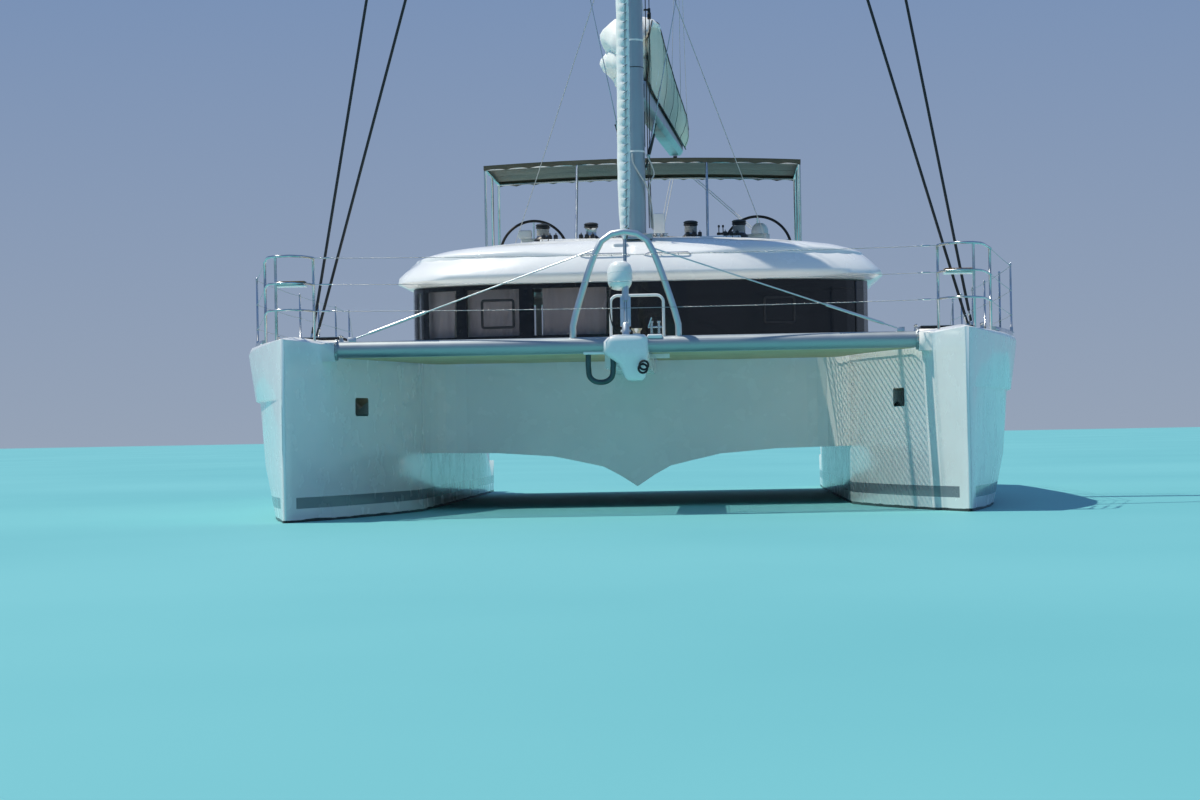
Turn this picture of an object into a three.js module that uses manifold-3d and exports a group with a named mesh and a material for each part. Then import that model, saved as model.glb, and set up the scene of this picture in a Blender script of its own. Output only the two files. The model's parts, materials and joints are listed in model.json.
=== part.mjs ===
// A cruising sailing catamaran, 17 m long, afloat with its sails stowed.
// Millimetres, +Z up, bow towards -Y, port side towards +X.
// The origin is on the centre plane, amidships, at the waterline.
import * as THREE from "three";
import { mergeVertices } from "three/addons/utils/BufferGeometryUtils.js";
import Module from "manifold-3d";

const wasm = await Module();
wasm.setup();

// Driving dimensions
const LENGTH = 17070;
const DRAFT = 1500;
const HULL_X = 3650; // centre plane of each hull
const TUNNEL_X = 2580; // inner face of each hull, from the bridgedeck aft
const GAP = 0.3; // the bedding between two pieces that rest on each other

const DECK_Z = 1950;
const FOREDECK_Z = 1800;
const SOLE_Z = 1000; // saloon and cockpit floor
const TUNNEL_Z = 700; // underside of the bridgedeck
const WALL_TOP_Z = 2840;
const FLY_FLOOR_Z = 2950; // flybridge floor
const ROOF_Z = 3440;

const BEAM_AFT = 1000; // places along the boat are given from the stem, going aft
const BRIDGE_FRONT = 5060;
const CABIN_FRONT = 6700;
const CABIN_AFT = 11360;
const WELL_FRONT = 7200;
const COCKPIT_AFT = 14500;
const BRIDGE_AFT = 15000;
const MAST_AFT = 7300;
const FLY_FRONT = 9700;
const FLY_AFT = 13500;

const MAST_TOP_Z = 28200;
const HOUNDS_Z = 25000; // where the forestay and the cap shrouds meet the mast
const LOWER_HOUNDS_Z = 16500;
const BOOM_Z = 5180; // underside of the boom
const BOOM_LENGTH = 8200;
const BOOM_SWING = THREE.MathUtils.degToRad(3); // the boom rests a little to port

const y = (aft) => aft - LENGTH / 2; // Y of a place given from the stem
const V = (px, aft, pz) => new THREE.Vector3(px, y(aft), pz);

// Materials
const material = (color, roughness, metalness = 0) =>
  new THREE.MeshStandardMaterial({ color, roughness, metalness });
const gelcoat = material(0xf2f3f1, 0.25);
const antifouling = material(0x1c1e22, 0.8);
const bronze = material(0xa8814a, 0.35, 1);
const aluminium = material(0xa9adb0, 0.4, 1);
const stainless = material(0xc9ccce, 0.2, 1);
const smokedAcrylic = material(0x15181b, 0.08);
const netting = material(0xcbb894, 0.9);
const canvas = material(0x8f8a7c, 0.9);
const sailcloth = material(0xe9e9e4, 0.7);
const bagCanvas = material(0xcfcfc0, 0.85);
const cushion = material(0xb9b2a3, 0.9);
const wood = material(0x8a6a48, 0.5);
const wireSleeve = material(0x191a1c, 0.5);

// Closed solids

// A closed surface from vertices and triangles, turned to face outwards.
function closed(vertices, triangles) {
  const make = (faces) =>
    new wasm.Manifold(
      new wasm.Mesh({
        numProp: 3,
        vertProperties: new Float32Array(vertices),
        triVerts: new Uint32Array(faces),
      }),
    );
  const solid = make(triangles);
  if (solid.volume() > 0) return solid;
  const flipped = [];
  for (let i = 0; i < triangles.length; i += 3)
    flipped.push(triangles[i], triangles[i + 2], triangles[i + 1]);
  return make(flipped);
}

// A three.js geometry as a solid, without the faces that collapse at a pole.
function solidOf(geometry) {
  const bare = geometry.clone();
  bare.deleteAttribute("normal");
  bare.deleteAttribute("uv");
  const merged = mergeVertices(bare, 1e-3);
  const at = merged.index.array;
  const kept = [];
  for (let i = 0; i < at.length; i += 3) {
    const [a, b, c] = [at[i], at[i + 1], at[i + 2]];
    if (a !== b && b !== c && a !== c) kept.push(a, b, c);
  }
  return closed(merged.attributes.position.array, kept);
}

function geometryOf(solid) {
  const mesh = solid.getMesh();
  const points = new Float32Array(mesh.numVert * 3);
  for (let i = 0; i < mesh.numVert; i++)
    for (let k = 0; k < 3; k++)
      points[3 * i + k] = mesh.vertProperties[mesh.numProp * i + k];
  const geometry = new THREE.BufferGeometry();
  geometry.setAttribute("position", new THREE.BufferAttribute(points, 3));
  geometry.setIndex(new THREE.BufferAttribute(mesh.triVerts, 1));
  geometry.computeVertexNormals();
  return geometry;
}

const join = (first, ...rest) => rest.reduce((sum, piece) => sum.add(piece), first);
const cut = (first, ...rest) => rest.reduce((left, piece) => left.subtract(piece), first);

// The same solid moved, as a new solid.
function moved(solid, dx, dy, dz) {
  return solidOf(geometryOf(solid).translate(dx, dy, dz));
}

// The same solid on the other side of the centre plane.
function mirrored(solid) {
  return solidOf(geometryOf(solid).scale(-1, 1, 1));
}

// Rings of [x, y, z] points, joined one to the next and closed at both ends.
function loft(rings) {
  const count = rings[0].length;
  const points = rings.flat(2);
  const triangles = [];
  rings.slice(1).forEach((_, r) => {
    for (let i = 0; i < count; i++) {
      const a = r * count + i;
      const b = r * count + ((i + 1) % count);
      triangles.push(a, b, b + count, a, b + count, a + count);
    }
  });
  [0, rings.length - 1].forEach((r, end) => {
    const middle = points.length / 3;
    for (let k = 0; k < 3; k++)
      points.push(rings[r].reduce((sum, point) => sum + point[k], 0) / count);
    for (let i = 0; i < count; i++) {
      const a = r * count + i;
      const b = r * count + ((i + 1) % count);
      triangles.push(...(end ? [a, b, middle] : [b, a, middle]));
    }
  });
  return closed(points, triangles);
}

// A box between two corners; its places along the boat are given from the stem.
function box(x0, x1, aft0, aft1, z0, z1) {
  const geometry = new THREE.BoxGeometry(x1 - x0, aft1 - aft0, z1 - z0);
  geometry.translate((x0 + x1) / 2, y((aft0 + aft1) / 2), (z0 + z1) / 2);
  return solidOf(geometry);
}

// A flat outline of [x, aft] points, standing between two heights.
function plate(outline, z0, z1) {
  const shape = new THREE.Shape(outline.map(([px, aft]) => new THREE.Vector2(px, y(aft))));
  const geometry = new THREE.ExtrudeGeometry(shape, { depth: z1 - z0, bevelEnabled: false });
  return solidOf(geometry.translate(0, 0, z0));
}

// A regular outline for bars and tubes.
function disc(radius, sides) {
  const corner = (i) => {
    const turn = ((i + 0.5) / sides) * 2 * Math.PI;
    return new THREE.Vector2(radius * Math.cos(turn), radius * Math.sin(turn));
  };
  return new THREE.Shape(Array.from({ length: sides }, (_, i) => corner(i)));
}

// A round bar along a curve.
function bar(curve, radius, steps = 1, sides = 8) {
  const options = { extrudePath: curve, steps, bevelEnabled: false };
  return solidOf(new THREE.ExtrudeGeometry(disc(radius, sides), options));
}

const rod = (from, to, radius, sides = 8) =>
  bar(new THREE.LineCurve3(from, to), radius, 1, sides);
const bent = (points, radius, steps, sides = 8) =>
  bar(new THREE.CatmullRomCurve3(points, false, "centripetal"), radius, steps, sides);

// A wire from point to point, mitred at its corners.
function wire(points, radius, sides = 6) {
  const last = points.length - 1;
  const rings = points.map((point, i) => {
    const along = points[Math.min(i + 1, last)].clone().sub(points[Math.max(i - 1, 0)]).normalize();
    const across = new THREE.Vector3(0, 1, 0).cross(along).normalize();
    const third = along.clone().cross(across);
    return disc(radius, sides)
      .getPoints()
      .slice(0, sides)
      .map((corner) => {
        const spot = point.clone().addScaledVector(across, corner.x).addScaledVector(third, corner.y);
        return spot.toArray();
      });
  });
  return loft(rings);
}

// A turned piece: [radius, height] pairs from axis to axis, its axis laid along a direction.
function turned(profile, segments, base, axis = new THREE.Vector3(0, 0, 1)) {
  const outline = profile.map(([radius, height]) => new THREE.Vector2(radius, height));
  const geometry = new THREE.LatheGeometry(outline, segments);
  const up = new THREE.Vector3(0, 1, 0);
  geometry.applyQuaternion(new THREE.Quaternion().setFromUnitVectors(up, axis));
  return solidOf(geometry.translate(base.x, base.y, base.z));
}

// An aerofoil outline, nose forward: fractions of the chord and of the half thickness.
const FOIL = [
  [0, 0],
  [0.04, 0.55],
  [0.15, 0.9],
  [0.35, 1],
  [0.7, 0.6],
  [1, 0.06],
];
function foil(px, nose, chord, halfThickness, pz) {
  const side = (sign) =>
    FOIL.map(([f, t]) => [px + sign * t * halfThickness, y(nose + f * chord), pz]);
  return [...side(1), ...side(-1).slice(1).reverse()];
}

const lerp = THREE.MathUtils.lerp;
const group = new THREE.Group();

function add(name, solid, finish, parent = group) {
  const mesh = new THREE.Mesh(geometryOf(solid), finish);
  mesh.name = name;
  parent.add(mesh);
  return mesh;
}

// A port piece and its mirror image.
function addPair(name, port, finish) {
  add(`${name}_port`, port, finish);
  add(`${name}_starboard`, mirrored(port), finish);
}

// Hulls

// Stations: aft of the stem, deck half breadth outboard and inboard of the hull's centre plane,
// waterline half breadth outboard and inboard, depth of the canoe body, deck edge height.
const STATIONS = [
  [0, 24, 24, 20, 20, 380, 1965],
  [150, 95, 80, 55, 70, 420, 1965],
  [500, 205, 190, 108, 180, 490, 1963],
  [1000, 375, 370, 212, 355, 570, 1960],
  [2000, 635, 625, 375, 610, 690, 1958],
  [3000, 800, 845, 500, 830, 770, 1955],
  [4300, 922, 1066, 610, 1060, 840, 1950],
  [6500, 1015, 1070, 700, 1070, 880, 1950],
  [8700, 1058, 1070, 750, 1070, 880, 1950],
  [11000, 1070, 1070, 760, 1070, 810, 1950],
  [13000, 1065, 1070, 745, 1070, 660, 1950],
  [15000, 1040, 1070, 700, 1070, 440, 1950],
  [17070, 980, 1060, 640, 1040, 170, 1950],
];
const CHINE_Z = 1330;
const DECK_CROWN = 60;

function station([aft, deckOut, deckIn, waterOut, waterIn, depth, edge]) {
  const out = Math.min(1, deckOut / 600); // the small steps fade towards the stem
  const inn = Math.min(1, deckIn / 600);
  const keel = (waterOut - waterIn) / 2;
  const crown = DECK_CROWN * Math.min(1, deckOut / 300);
  const bilge = (half, share) => keel + share * (half - keel);
  const outline = [
    [keel, -depth],
    [bilge(waterOut, 0.5), -0.86 * depth],
    [bilge(waterOut, 0.85), -0.48 * depth],
    [waterOut, 0],
    [lerp(waterOut, deckOut, 0.42), 600],
    [deckOut - 125 * out, CHINE_Z - 10],
    [deckOut - 75 * out, CHINE_Z + 10],
    [deckOut, edge - 75 * out],
    [deckOut - 22 * out, edge - 22 * out],
    [deckOut - 80 * out, edge],
    [0, edge + crown],
    [-deckIn + 80 * inn, edge],
    [-deckIn + 22 * inn, edge - 22 * inn],
    [-deckIn, edge - 75 * inn],
    [-lerp(waterIn, deckIn, 0.5), 700],
    [-waterIn, 0],
    [bilge(-waterIn, 0.85), -0.48 * depth],
    [bilge(-waterIn, 0.5), -0.86 * depth],
  ];
  return outline.map(([px, pz]) => [HULL_X + px, y(aft), pz]);
}

// Steps down to the bathing platform: aft end and height of each tread.
const TREADS = [
  [15150, 1550],
  [15550, 1200],
  [15950, 850],
  [LENGTH + 50, 500],
];
const STEPS_START = 14750;
const STEPS_OUTBOARD = HULL_X + 860; // the bulwark outboard of the steps is 120 to 200 thick
const PLATFORM_Z = TREADS[3][1];

// The bulwark slopes from the deck to just above the platform.
function bulwarkSlope() {
  const shape = new THREE.Shape([
    new THREE.Vector2(y(14900), DECK_Z + 20),
    new THREE.Vector2(y(LENGTH + 50), PLATFORM_Z + 260),
    new THREE.Vector2(y(LENGTH + 50), DECK_Z + 300),
    new THREE.Vector2(y(14900), DECK_Z + 300),
  ]);
  const geometry = new THREE.ExtrudeGeometry(shape, { depth: 3000, bevelEnabled: false });
  const along = new THREE.Matrix4().makeBasis(
    new THREE.Vector3(0, 1, 0),
    new THREE.Vector3(0, 0, 1),
    new THREE.Vector3(1, 0, 0),
  );
  return solidOf(geometry.applyMatrix4(along).translate(TUNNEL_X - 200, 0, 0));
}

const RUDDER_AFT = 15100;
const RUDDER_X = HULL_X - 160;
const STOCK_R = 45;
const BORE_R = 45.75;
const HATCH = { x: HULL_X, aft: 3000, half: 280, top: DECK_Z + 80 };
const PAD_X = 3200; // face of the pad that carries the crossbeam

function hull() {
  const steps = TREADS.map(([end, height], i) =>
    box(0, STEPS_OUTBOARD, i ? TREADS[i - 1][0] : STEPS_START, end, height, DECK_Z + 300),
  );
  const passage = box(TUNNEL_X - 50, TUNNEL_X + 720, 13900, STEPS_START + 1, SOLE_Z, DECK_Z + 300);
  const stockBore = rod(V(RUDDER_X, RUDDER_AFT, -900), V(RUDDER_X, RUDDER_AFT, 60), BORE_R, 24);
  const { x, aft, half, top } = HATCH;
  const coaming = box(x - half - 50, x + half + 50, aft - half - 50, aft + half + 50, 1800, top);
  const locker = box(x - half, x + half, aft - half, aft + half, 900, top + 10);
  const pad = box(PAD_X, HULL_X, BEAM_AFT - 150, BEAM_AFT + 150, 1740, 1945);
  const body = join(loft(STATIONS.map(station)), coaming, pad);
  return cut(body, ...steps, passage, bulwarkSlope(), stockBore, locker);
}
const hullPort = hull();
const hullStarboard = mirrored(hullPort);
const hulls = [hullPort, hullStarboard];
addPair("hull", hullPort, gelcoat);

// Cuts a piece so that it lies on the hulls' surface, bedded on the gap given.
const onHulls = (piece, dx, dz) =>
  cut(piece, moved(hullPort, -dx, 0, dz), moved(hullStarboard, dx, 0, dz));

const KEEL = { x: HULL_X - 150, nose: 7000, root: 3700, tip: 3000, half: 190 };
addPair(
  "keel",
  onHulls(
    loft([
      foil(KEEL.x, KEEL.nose, KEEL.root, KEEL.half, -600),
      foil(KEEL.x, KEEL.nose + 350, KEEL.tip, KEEL.half * 0.9, -DRAFT + 60),
      foil(KEEL.x, KEEL.nose + 380, KEEL.tip - 60, KEEL.half * 0.8, -DRAFT),
    ]),
    0,
    -GAP,
  ),
  antifouling,
);

const RUDDER = { top: -500, foot: -1380, chord: 640, half: 48 };
addPair(
  "rudder",
  join(
    loft([
      foil(RUDDER_X, RUDDER_AFT - 190, RUDDER.chord, RUDDER.half, RUDDER.top),
      foil(RUDDER_X, RUDDER_AFT - 160, RUDDER.chord - 130, RUDDER.half * 0.8, RUDDER.foot),
    ]),
    rod(V(RUDDER_X, RUDDER_AFT, RUDDER.foot + 300), V(RUDDER_X, RUDDER_AFT, 50), STOCK_R, 24),
  ),
  antifouling,
);

// Each engine drives through a leg under the hull, with a three-bladed propeller at its aft end.
const LEG = { x: HULL_X - 160, aft: 13050, z: -1000, caseR: 95, shaftR: 22 };
const AFTWARD = new THREE.Vector3(0, 1, 0);
const legCase = turned(
  [
    [0, 0],
    [45, 40],
    [80, 130],
    [LEG.caseR, 260],
    [LEG.caseR, 430],
    [62, 560],
    [0, 560],
  ],
  16,
  V(LEG.x, LEG.aft - 260, LEG.z),
  AFTWARD,
);
addPair(
  "drive_leg",
  cut(
    onHulls(
      join(
        legCase,
        loft([
          foil(LEG.x, LEG.aft - 170, 380, 46, LEG.z),
          foil(LEG.x, LEG.aft - 230, 470, 62, -300),
        ]),
      ),
      0,
      -GAP,
    ),
    rod(V(LEG.x, LEG.aft + 200, LEG.z), V(LEG.x, LEG.aft + 320, LEG.z), LEG.shaftR + 0.9, 16),
  ),
  antifouling,
);

const PROP = { radius: 265, hub: 58, length: 150, front: LEG.aft + 306 };
function blade(turn) {
  const section = (r, chord, pitch, thick) => {
    const corner = [
      [-0.5, 0],
      [0, 1],
      [0.5, 0],
      [0, -1],
    ];
    return corner.map(([c, t]) => {
      const across = chord * c * Math.cos(pitch) - thick * t * Math.sin(pitch);
      const along = chord * c * Math.sin(pitch) + thick * t * Math.cos(pitch);
      const point = new THREE.Vector3(across, along, r).applyAxisAngle(AFTWARD, turn);
      return [point.x + LEG.x, point.y + y(PROP.front) + PROP.length / 2, point.z + LEG.z];
    });
  };
  return loft([
    section(PROP.hub * 0.6, 90, 1.0, 12),
    section(PROP.radius * 0.6, 175, 0.6, 9),
    section(PROP.radius * 0.88, 140, 0.42, 7),
    section(PROP.radius, 60, 0.38, 5),
  ]);
}
// A propeller at rest at an angle.
function propeller(rest) {
  const hub = [
    [0, 0],
    [PROP.hub - 6, 0],
    [PROP.hub, 30],
    [PROP.hub - 8, PROP.length - 30],
    [20, PROP.length + 20],
    [0, PROP.length + 30],
  ];
  return join(
    turned(hub, 12, V(LEG.x, PROP.front, LEG.z), AFTWARD),
    rod(V(LEG.x, LEG.aft + 205, LEG.z), V(LEG.x, PROP.front + 60, LEG.z), LEG.shaftR, 16),
    ...[0, 1, 2].map((i) => blade(rest + (i * 2 * Math.PI) / 3)),
  );
}
add("propeller_port", propeller(0), bronze);
add("propeller_starboard", mirrored(propeller(0.4)), bronze);

// Bridgedeck: the structure between the hulls, with a keel-shaped nacelle under its middle

// Underside at the front wall: half breadth, height.
const NACELLE = [
  [0, 240],
  [210, 380],
  [410, 490],
  [690, 556],
  [1020, 628],
  [1700, 680],
  [2760, TUNNEL_Z],
];
// How much of the nacelle's depth is left at each place.
const NACELLE_FADE = [
  [4200, 1],
  [6500, 0.95],
  [8500, 0.7],
  [10500, 0.3],
  [12000, 0],
  [BRIDGE_AFT, 0],
];

function bridgeSection([aft, share]) {
  const under = NACELLE.map(([px, pz]) => [px, lerp(TUNNEL_Z, pz, share)]);
  const starboard = under
    .slice(1)
    .reverse()
    .map(([px, pz]) => [-px, pz]);
  const outline = [...starboard, ...under, [2760, FOREDECK_Z], [-2760, FOREDECK_Z]];
  return outline.map(([px, pz]) => [px, y(aft), pz]);
}

// The front wall in plan: a slight crease in the middle and a large hollow radius at each hull.
function frontOutline() {
  const radius = 500;
  const centre = [TUNNEL_X - radius, BRIDGE_FRONT - radius];
  const arc = [0, 15, 30, 45, 60, 75, 90].map((degrees) => {
    const turn = THREE.MathUtils.degToRad(degrees);
    return [centre[0] + radius * Math.cos(turn), centre[1] + radius * Math.sin(turn)];
  });
  const port = [[2760, 4420], [TUNNEL_X + 2, 4420], ...arc];
  const starboard = port.map(([px, aft]) => [-px, aft]).reverse();
  return [[2760, BRIDGE_AFT], ...port, [0, BRIDGE_FRONT - 110], ...starboard, [-2760, BRIDGE_AFT]];
}

const FORE_COCKPIT = { half: 1750, front: 5500, aft: 6500, z: 1380 };
function bridgedeckSolid() {
  const { half, front, aft, z } = FORE_COCKPIT;
  const whole = loft(NACELLE_FADE.map(bridgeSection)).intersect(plate(frontOutline(), 100, 1900));
  const seat = box(-half + 2, half - 2, aft - 350, aft + 2, z - 2, z + 210);
  return onHulls(
    join(
      cut(
        whole,
        box(-half, half, front, aft, z, 1900),
        box(-2770, 2770, WELL_FRONT, COCKPIT_AFT, SOLE_Z, 1900),
        box(-2770, 2770, COCKPIT_AFT - 1, BRIDGE_AFT + 10, 1440, 1900),
        box(1500, 2770, COCKPIT_AFT - 1, BRIDGE_AFT + 10, SOLE_Z, 1900),
        box(-2770, -1500, COCKPIT_AFT - 1, BRIDGE_AFT + 10, SOLE_Z, 1900),
      ),
      seat,
    ),
    GAP,
    0,
  );
}
const bridgedeck = bridgedeckSolid();
add("bridgedeck", bridgedeck, gelcoat);

// Foredeck gear: crossbeam, walkway, nets and striker

const BEAM = { z: 1870, radius: 88, end: PAD_X - GAP };
const beamCentre = (px, dz = 0) => V(px, BEAM_AFT, BEAM.z + dz);
const flange = (end) => rod(beamCentre(end), beamCentre(end - Math.sign(end) * 28), 118, 16);
add(
  "crossbeam",
  join(
    rod(beamCentre(-BEAM.end + 1), beamCentre(BEAM.end - 1), BEAM.radius, 24),
    flange(BEAM.end),
    flange(-BEAM.end),
  ),
  aluminium,
);

// The fitting in the middle of the beam takes the forestay, the anchor roller and the walkway.
const FITTING = { half: 245, front: 840, aft: 1180, top: 1975, waist: 1690, foot: 1480 };
function fittingRing(z, half, front, aft) {
  return [
    [-half, y(front), z],
    [half, y(front), z],
    [half, y(aft), z],
    [-half, y(aft), z],
  ];
}
const guardLeg = [
  V(-430, 985, 1760),
  V(-440, 985, 1560),
  V(-400, 985, 1440),
  V(-300, 985, 1410),
  V(-190, 985, 1440),
  V(-120, 985, 1530),
];
const beamHole = rod(beamCentre(-900), beamCentre(900), BEAM.radius + GAP * 1.2, 24);
add(
  "beam_fitting",
  cut(
    join(
      loft([
        fittingRing(FITTING.foot, 90, 900, 1120),
        fittingRing(FITTING.waist, 190, 860, 1160),
        fittingRing(1760, FITTING.half, FITTING.front, FITTING.aft),
        fittingRing(FITTING.top, FITTING.half - 15, FITTING.front + 15, FITTING.aft),
      ]),
      box(-470, -200, 950, 1020, 1735, 1775),
      bent(guardLeg, 19, 12, 8),
    ),
    beamHole,
  ),
  gelcoat,
);

const WALK = { half: 240, top: 1790, depth: 170, front: FITTING.aft + GAP };
// A stainless hoop guards the windlass; its port foot stands on a bracket of the walkway.
const HOOP = { x: 110, half: 296, aft: 1760, top: 2450, radius: 16 };
const bracketX = HOOP.x + HOOP.half + 60;
const walkway = cut(
  join(
    box(-WALK.half, WALK.half, WALK.front, BRIDGE_FRONT, WALK.top - WALK.depth, WALK.top),
    box(0, bracketX, HOOP.aft - 60, HOOP.aft + 60, WALK.top - 60, WALK.top),
  ),
  moved(bridgedeck, 0, -GAP, 0),
);
add("walkway", walkway, gelcoat);

function hoop() {
  const { x, half, aft, top, radius } = HOOP;
  const points = [
    V(x - half, aft, WALK.top - 20),
    V(x - half, aft, top - 160),
    V(x - half + 110, aft, top - 20),
    V(x, aft, top),
    V(x + half - 110, aft, top - 20),
    V(x + half, aft, top - 160),
    V(x + half, aft, WALK.top - 20),
  ];
  const flat = box(x - half - 60, x + half + 60, aft - 60, aft + 60, WALK.top - 60, WALK.top + GAP);
  const feet = [-1, 1].map((s) =>
    box(x + s * half - 45, x + s * half + 45, aft - 45, aft + 45, WALK.top - 5, WALK.top + 12),
  );
  return cut(join(bent(points, radius, 20, 8), ...feet), flat);
}
add("windlass_hoop", hoop(), stainless);

const NET = { thick: 12, front: 1130, aft: 5045 };
function net() {
  const sheet = box(WALK.half + GAP, PAD_X + 100, NET.front, NET.aft, WALK.top - NET.thick, WALK.top);
  const bracket = box(WALK.half, bracketX + 10, HOOP.aft - 70, HOOP.aft + 70, 1700, 1800);
  const wall = [moved(bridgedeck, -GAP, -GAP, 0), moved(bridgedeck, 0, -GAP, 0)];
  const fitting = box(0, FITTING.half + 12, NET.front - 20, FITTING.aft + 10, 1700, 1800);
  return onHulls(cut(sheet, ...wall, bracket, fitting), 2 * GAP, 0);
}
addPair("trampoline", net(), netting);

// The striker: an arch on the beam, with a tie rod from each shoulder to the beam's end.
const ARCH = { half: 580, shoulder: 300, top: 3110, radius: 38 };
const TIE_END = { x: 3010, z: BEAM.z + BEAM.radius + 22 };
function striker() {
  const { half, shoulder, top, radius } = ARCH;
  const foot = BEAM.z + BEAM.radius - 20;
  const side = (s) => [
    [s * half, foot],
    [s * half, foot + 130],
    [s * (half - 30), foot + 260],
    [s * shoulder, top - 190],
    [s * (shoulder - 90), top - 60],
  ];
  const outline = [...side(-1), [0, top], ...side(1).reverse()];
  const arch = bent(outline.map(([px, pz]) => V(px, BEAM_AFT, pz)), radius, 20, 8);
  const ties = [-1, 1].flatMap((s) => {
    const high = V(s * (shoulder + 8), BEAM_AFT, top - 185);
    const low = V(s * TIE_END.x, BEAM_AFT, TIE_END.z);
    const at = (share) => high.clone().lerp(low, share);
    return [
      rod(high, low, 8, 6),
      rod(at(0.7), at(0.93), 17, 8),
      box(s * TIE_END.x - 40, s * TIE_END.x + 40, BEAM_AFT - 16, BEAM_AFT + 16, 1935, TIE_END.z + 24),
    ];
  });
  return cut(join(arch, ...ties), beamHole, rod(beamCentre(-3190), beamCentre(3190), 88.36, 24));
}
add("striker", cut(striker(), box(-240, 240, 840, 1180, 1400, FITTING.top + GAP)), stainless);

// Deck hatches of the forepeaks, hinged at their forward edge
const LID = { thick: 34, over: 35 };
const lidHalf = HATCH.half + LID.over;
addPair(
  "forepeak_hatch",
  box(
    HATCH.x - lidHalf,
    HATCH.x + lidHalf,
    HATCH.aft - lidHalf,
    HATCH.aft + lidHalf,
    HATCH.top + GAP,
    HATCH.top + GAP + LID.thick,
  ),
  smokedAcrylic,
);

// Pulpits and lifelines

const RAIL_R = 16;
const RAIL_Z = [2880, 2590, 2300];
// A pulpit's posts: outboard of the hull's centre plane, aft of the stem.
const INNER_POST = [-235, 900];
const BOW_POST = [150, 600];
const OUTER_POST = [385, 1500];
function pulpit() {
  const plan = [INNER_POST, [-175, 560], [-20, 360], BOW_POST.map((v, i) => v - i * 150), OUTER_POST];
  const rails = RAIL_Z.map((z, i) => {
    const radius = i ? RAIL_R * 0.8 : RAIL_R;
    return bent(plan.map(([px, aft]) => V(HULL_X + px, aft, z - i * 2)), radius, 10, 6);
  });
  const posts = [INNER_POST, [120, 440], OUTER_POST].map(([px, aft]) =>
    rod(V(HULL_X + px, aft, DECK_Z - 30), V(HULL_X + px, aft, RAIL_Z[0] + 4), RAIL_R, 8),
  );
  const seat = loft([
    fittingRing(RAIL_Z[1] - 20, 150, 430, 690),
    fittingRing(RAIL_Z[1] + 4, 150, 430, 690),
  ]);
  const placed = moved(seat, HULL_X - 30, 0, 0);
  return onHulls(join(...rails, ...posts, placed), 0, GAP);
}
addPair("pulpit", pulpit(), stainless);

// A toe rail runs inside the outboard deck edge and carries the stanchions.
const STANCHIONS = [
  [4500, 4100],
  [4545, 6100],
  [4560, 8500],
  [4560, 10500],
  [4560, 12500],
  [4560, 14200],
];
const TOE_RAIL = [
  [HULL_X + 430, 1650],
  [HULL_X + 540, 2150],
  [HULL_X + 705, 3050],
  ...STANCHIONS,
  [4560, 14260],
];
function guardRail() {
  const width = 40;
  const inner = TOE_RAIL.map(([px, aft]) => [px - width / 2, aft]);
  const outer = TOE_RAIL.map(([px, aft]) => [px + width / 2, aft]).reverse();
  const posts = STANCHIONS.map(([px, aft]) =>
    rod(V(px, aft, DECK_Z), V(px, aft, 2820), 13, 8),
  );
  return onHulls(join(plate([...inner, ...outer], DECK_Z - 20, DECK_Z + 62), ...posts), 0, GAP);
}
addPair("guard_rail", guardRail(), stainless);

// Saloon

// The cabin in plan: a blunt curved front and straight sides, as a path from the middle of the
// front (share 0) to the aft end of one side (share 1), moved inwards by the inset.
const CABIN = { half: 3000, curve: 1500, power: 2.6 };
function cabinCurve(share, inset) {
  const half = CABIN.half - inset;
  const corner = CABIN_FRONT + CABIN.curve;
  const front = 0.6;
  if (share > front) return [half, lerp(corner, CABIN_AFT, (share - front) / (1 - front))];
  const turn = ((share / front) * Math.PI) / 2;
  const px = half * Math.sin(turn) ** (2 / CABIN.power);
  const back = (CABIN.curve - inset) * Math.cos(turn) ** (2 / CABIN.power);
  return [px, corner - back];
}

// The same path as straight facets, so that walls, windows and glass share them.
const FACETS = 20;
function cabinPoint(share, inset) {
  const place = Math.abs(share) * FACETS;
  const start = Math.min(Math.floor(place), FACETS - 1);
  const [a, b] = [start, start + 1].map((i) => cabinCurve(i / FACETS, inset));
  const side = Math.sign(share) || 1;
  return [side * lerp(a[0], b[0], place - start), lerp(a[1], b[1], place - start)];
}

// A wall along the cabin's outline between two shares, two insets and two heights.
function cabinStrip(from, to, outer, inner, z0, z1) {
  const between = Array.from({ length: 2 * FACETS + 1 }, (_, i) => i / FACETS - 1);
  const [low, high] = [Math.min(from, to), Math.max(from, to)];
  const shares = [low, ...between.filter((share) => share > low + 1e-6 && share < high - 1e-6), high];
  const out = shares.map((share) => cabinPoint(share, outer));
  const back = shares.map((share) => cabinPoint(share, inner)).reverse();
  return plate([...out, ...back], z0, z1);
}

const WALL = 60;
const GLASS = { low: 2100, high: 2830, thick: 12 };
const PANE = { low: 2170, high: 2770 }; // the openings behind the glass
// Windows: the start and end of each opening as shares of the outline.
const WINDOWS = [
  [0.015, 0.14],
  [0.165, 0.29],
  [0.315, 0.44],
  [0.47, 0.585],
  [0.62, 0.78],
  [0.81, 0.96],
];
const band = cabinStrip(-0.985, 0.985, -5, GLASS.thick + GAP, GLASS.low - GAP, WALL_TOP_Z + 20);
const windowCuts = WINDOWS.flatMap(([from, to]) =>
  [1, -1].map((s) => cabinStrip(s * from, s * to, -20, WALL + 20, PANE.low, PANE.high)),
);
const cabinWall = onHulls(
  cut(cabinStrip(-1, 1, 0, WALL, FOREDECK_Z + GAP, WALL_TOP_Z - GAP), band, ...windowCuts),
  0,
  GAP,
);
add("cabin_wall", cabinWall, gelcoat);
const FRONT_SHARE = 0.44; // the windscreen wraps round the front to these shares
const pane = (from, to) => cabinStrip(from, to, 0, GLASS.thick, GLASS.low, GLASS.high);
add("windscreen", pane(-FRONT_SHARE, FRONT_SHARE), smokedAcrylic);
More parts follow.
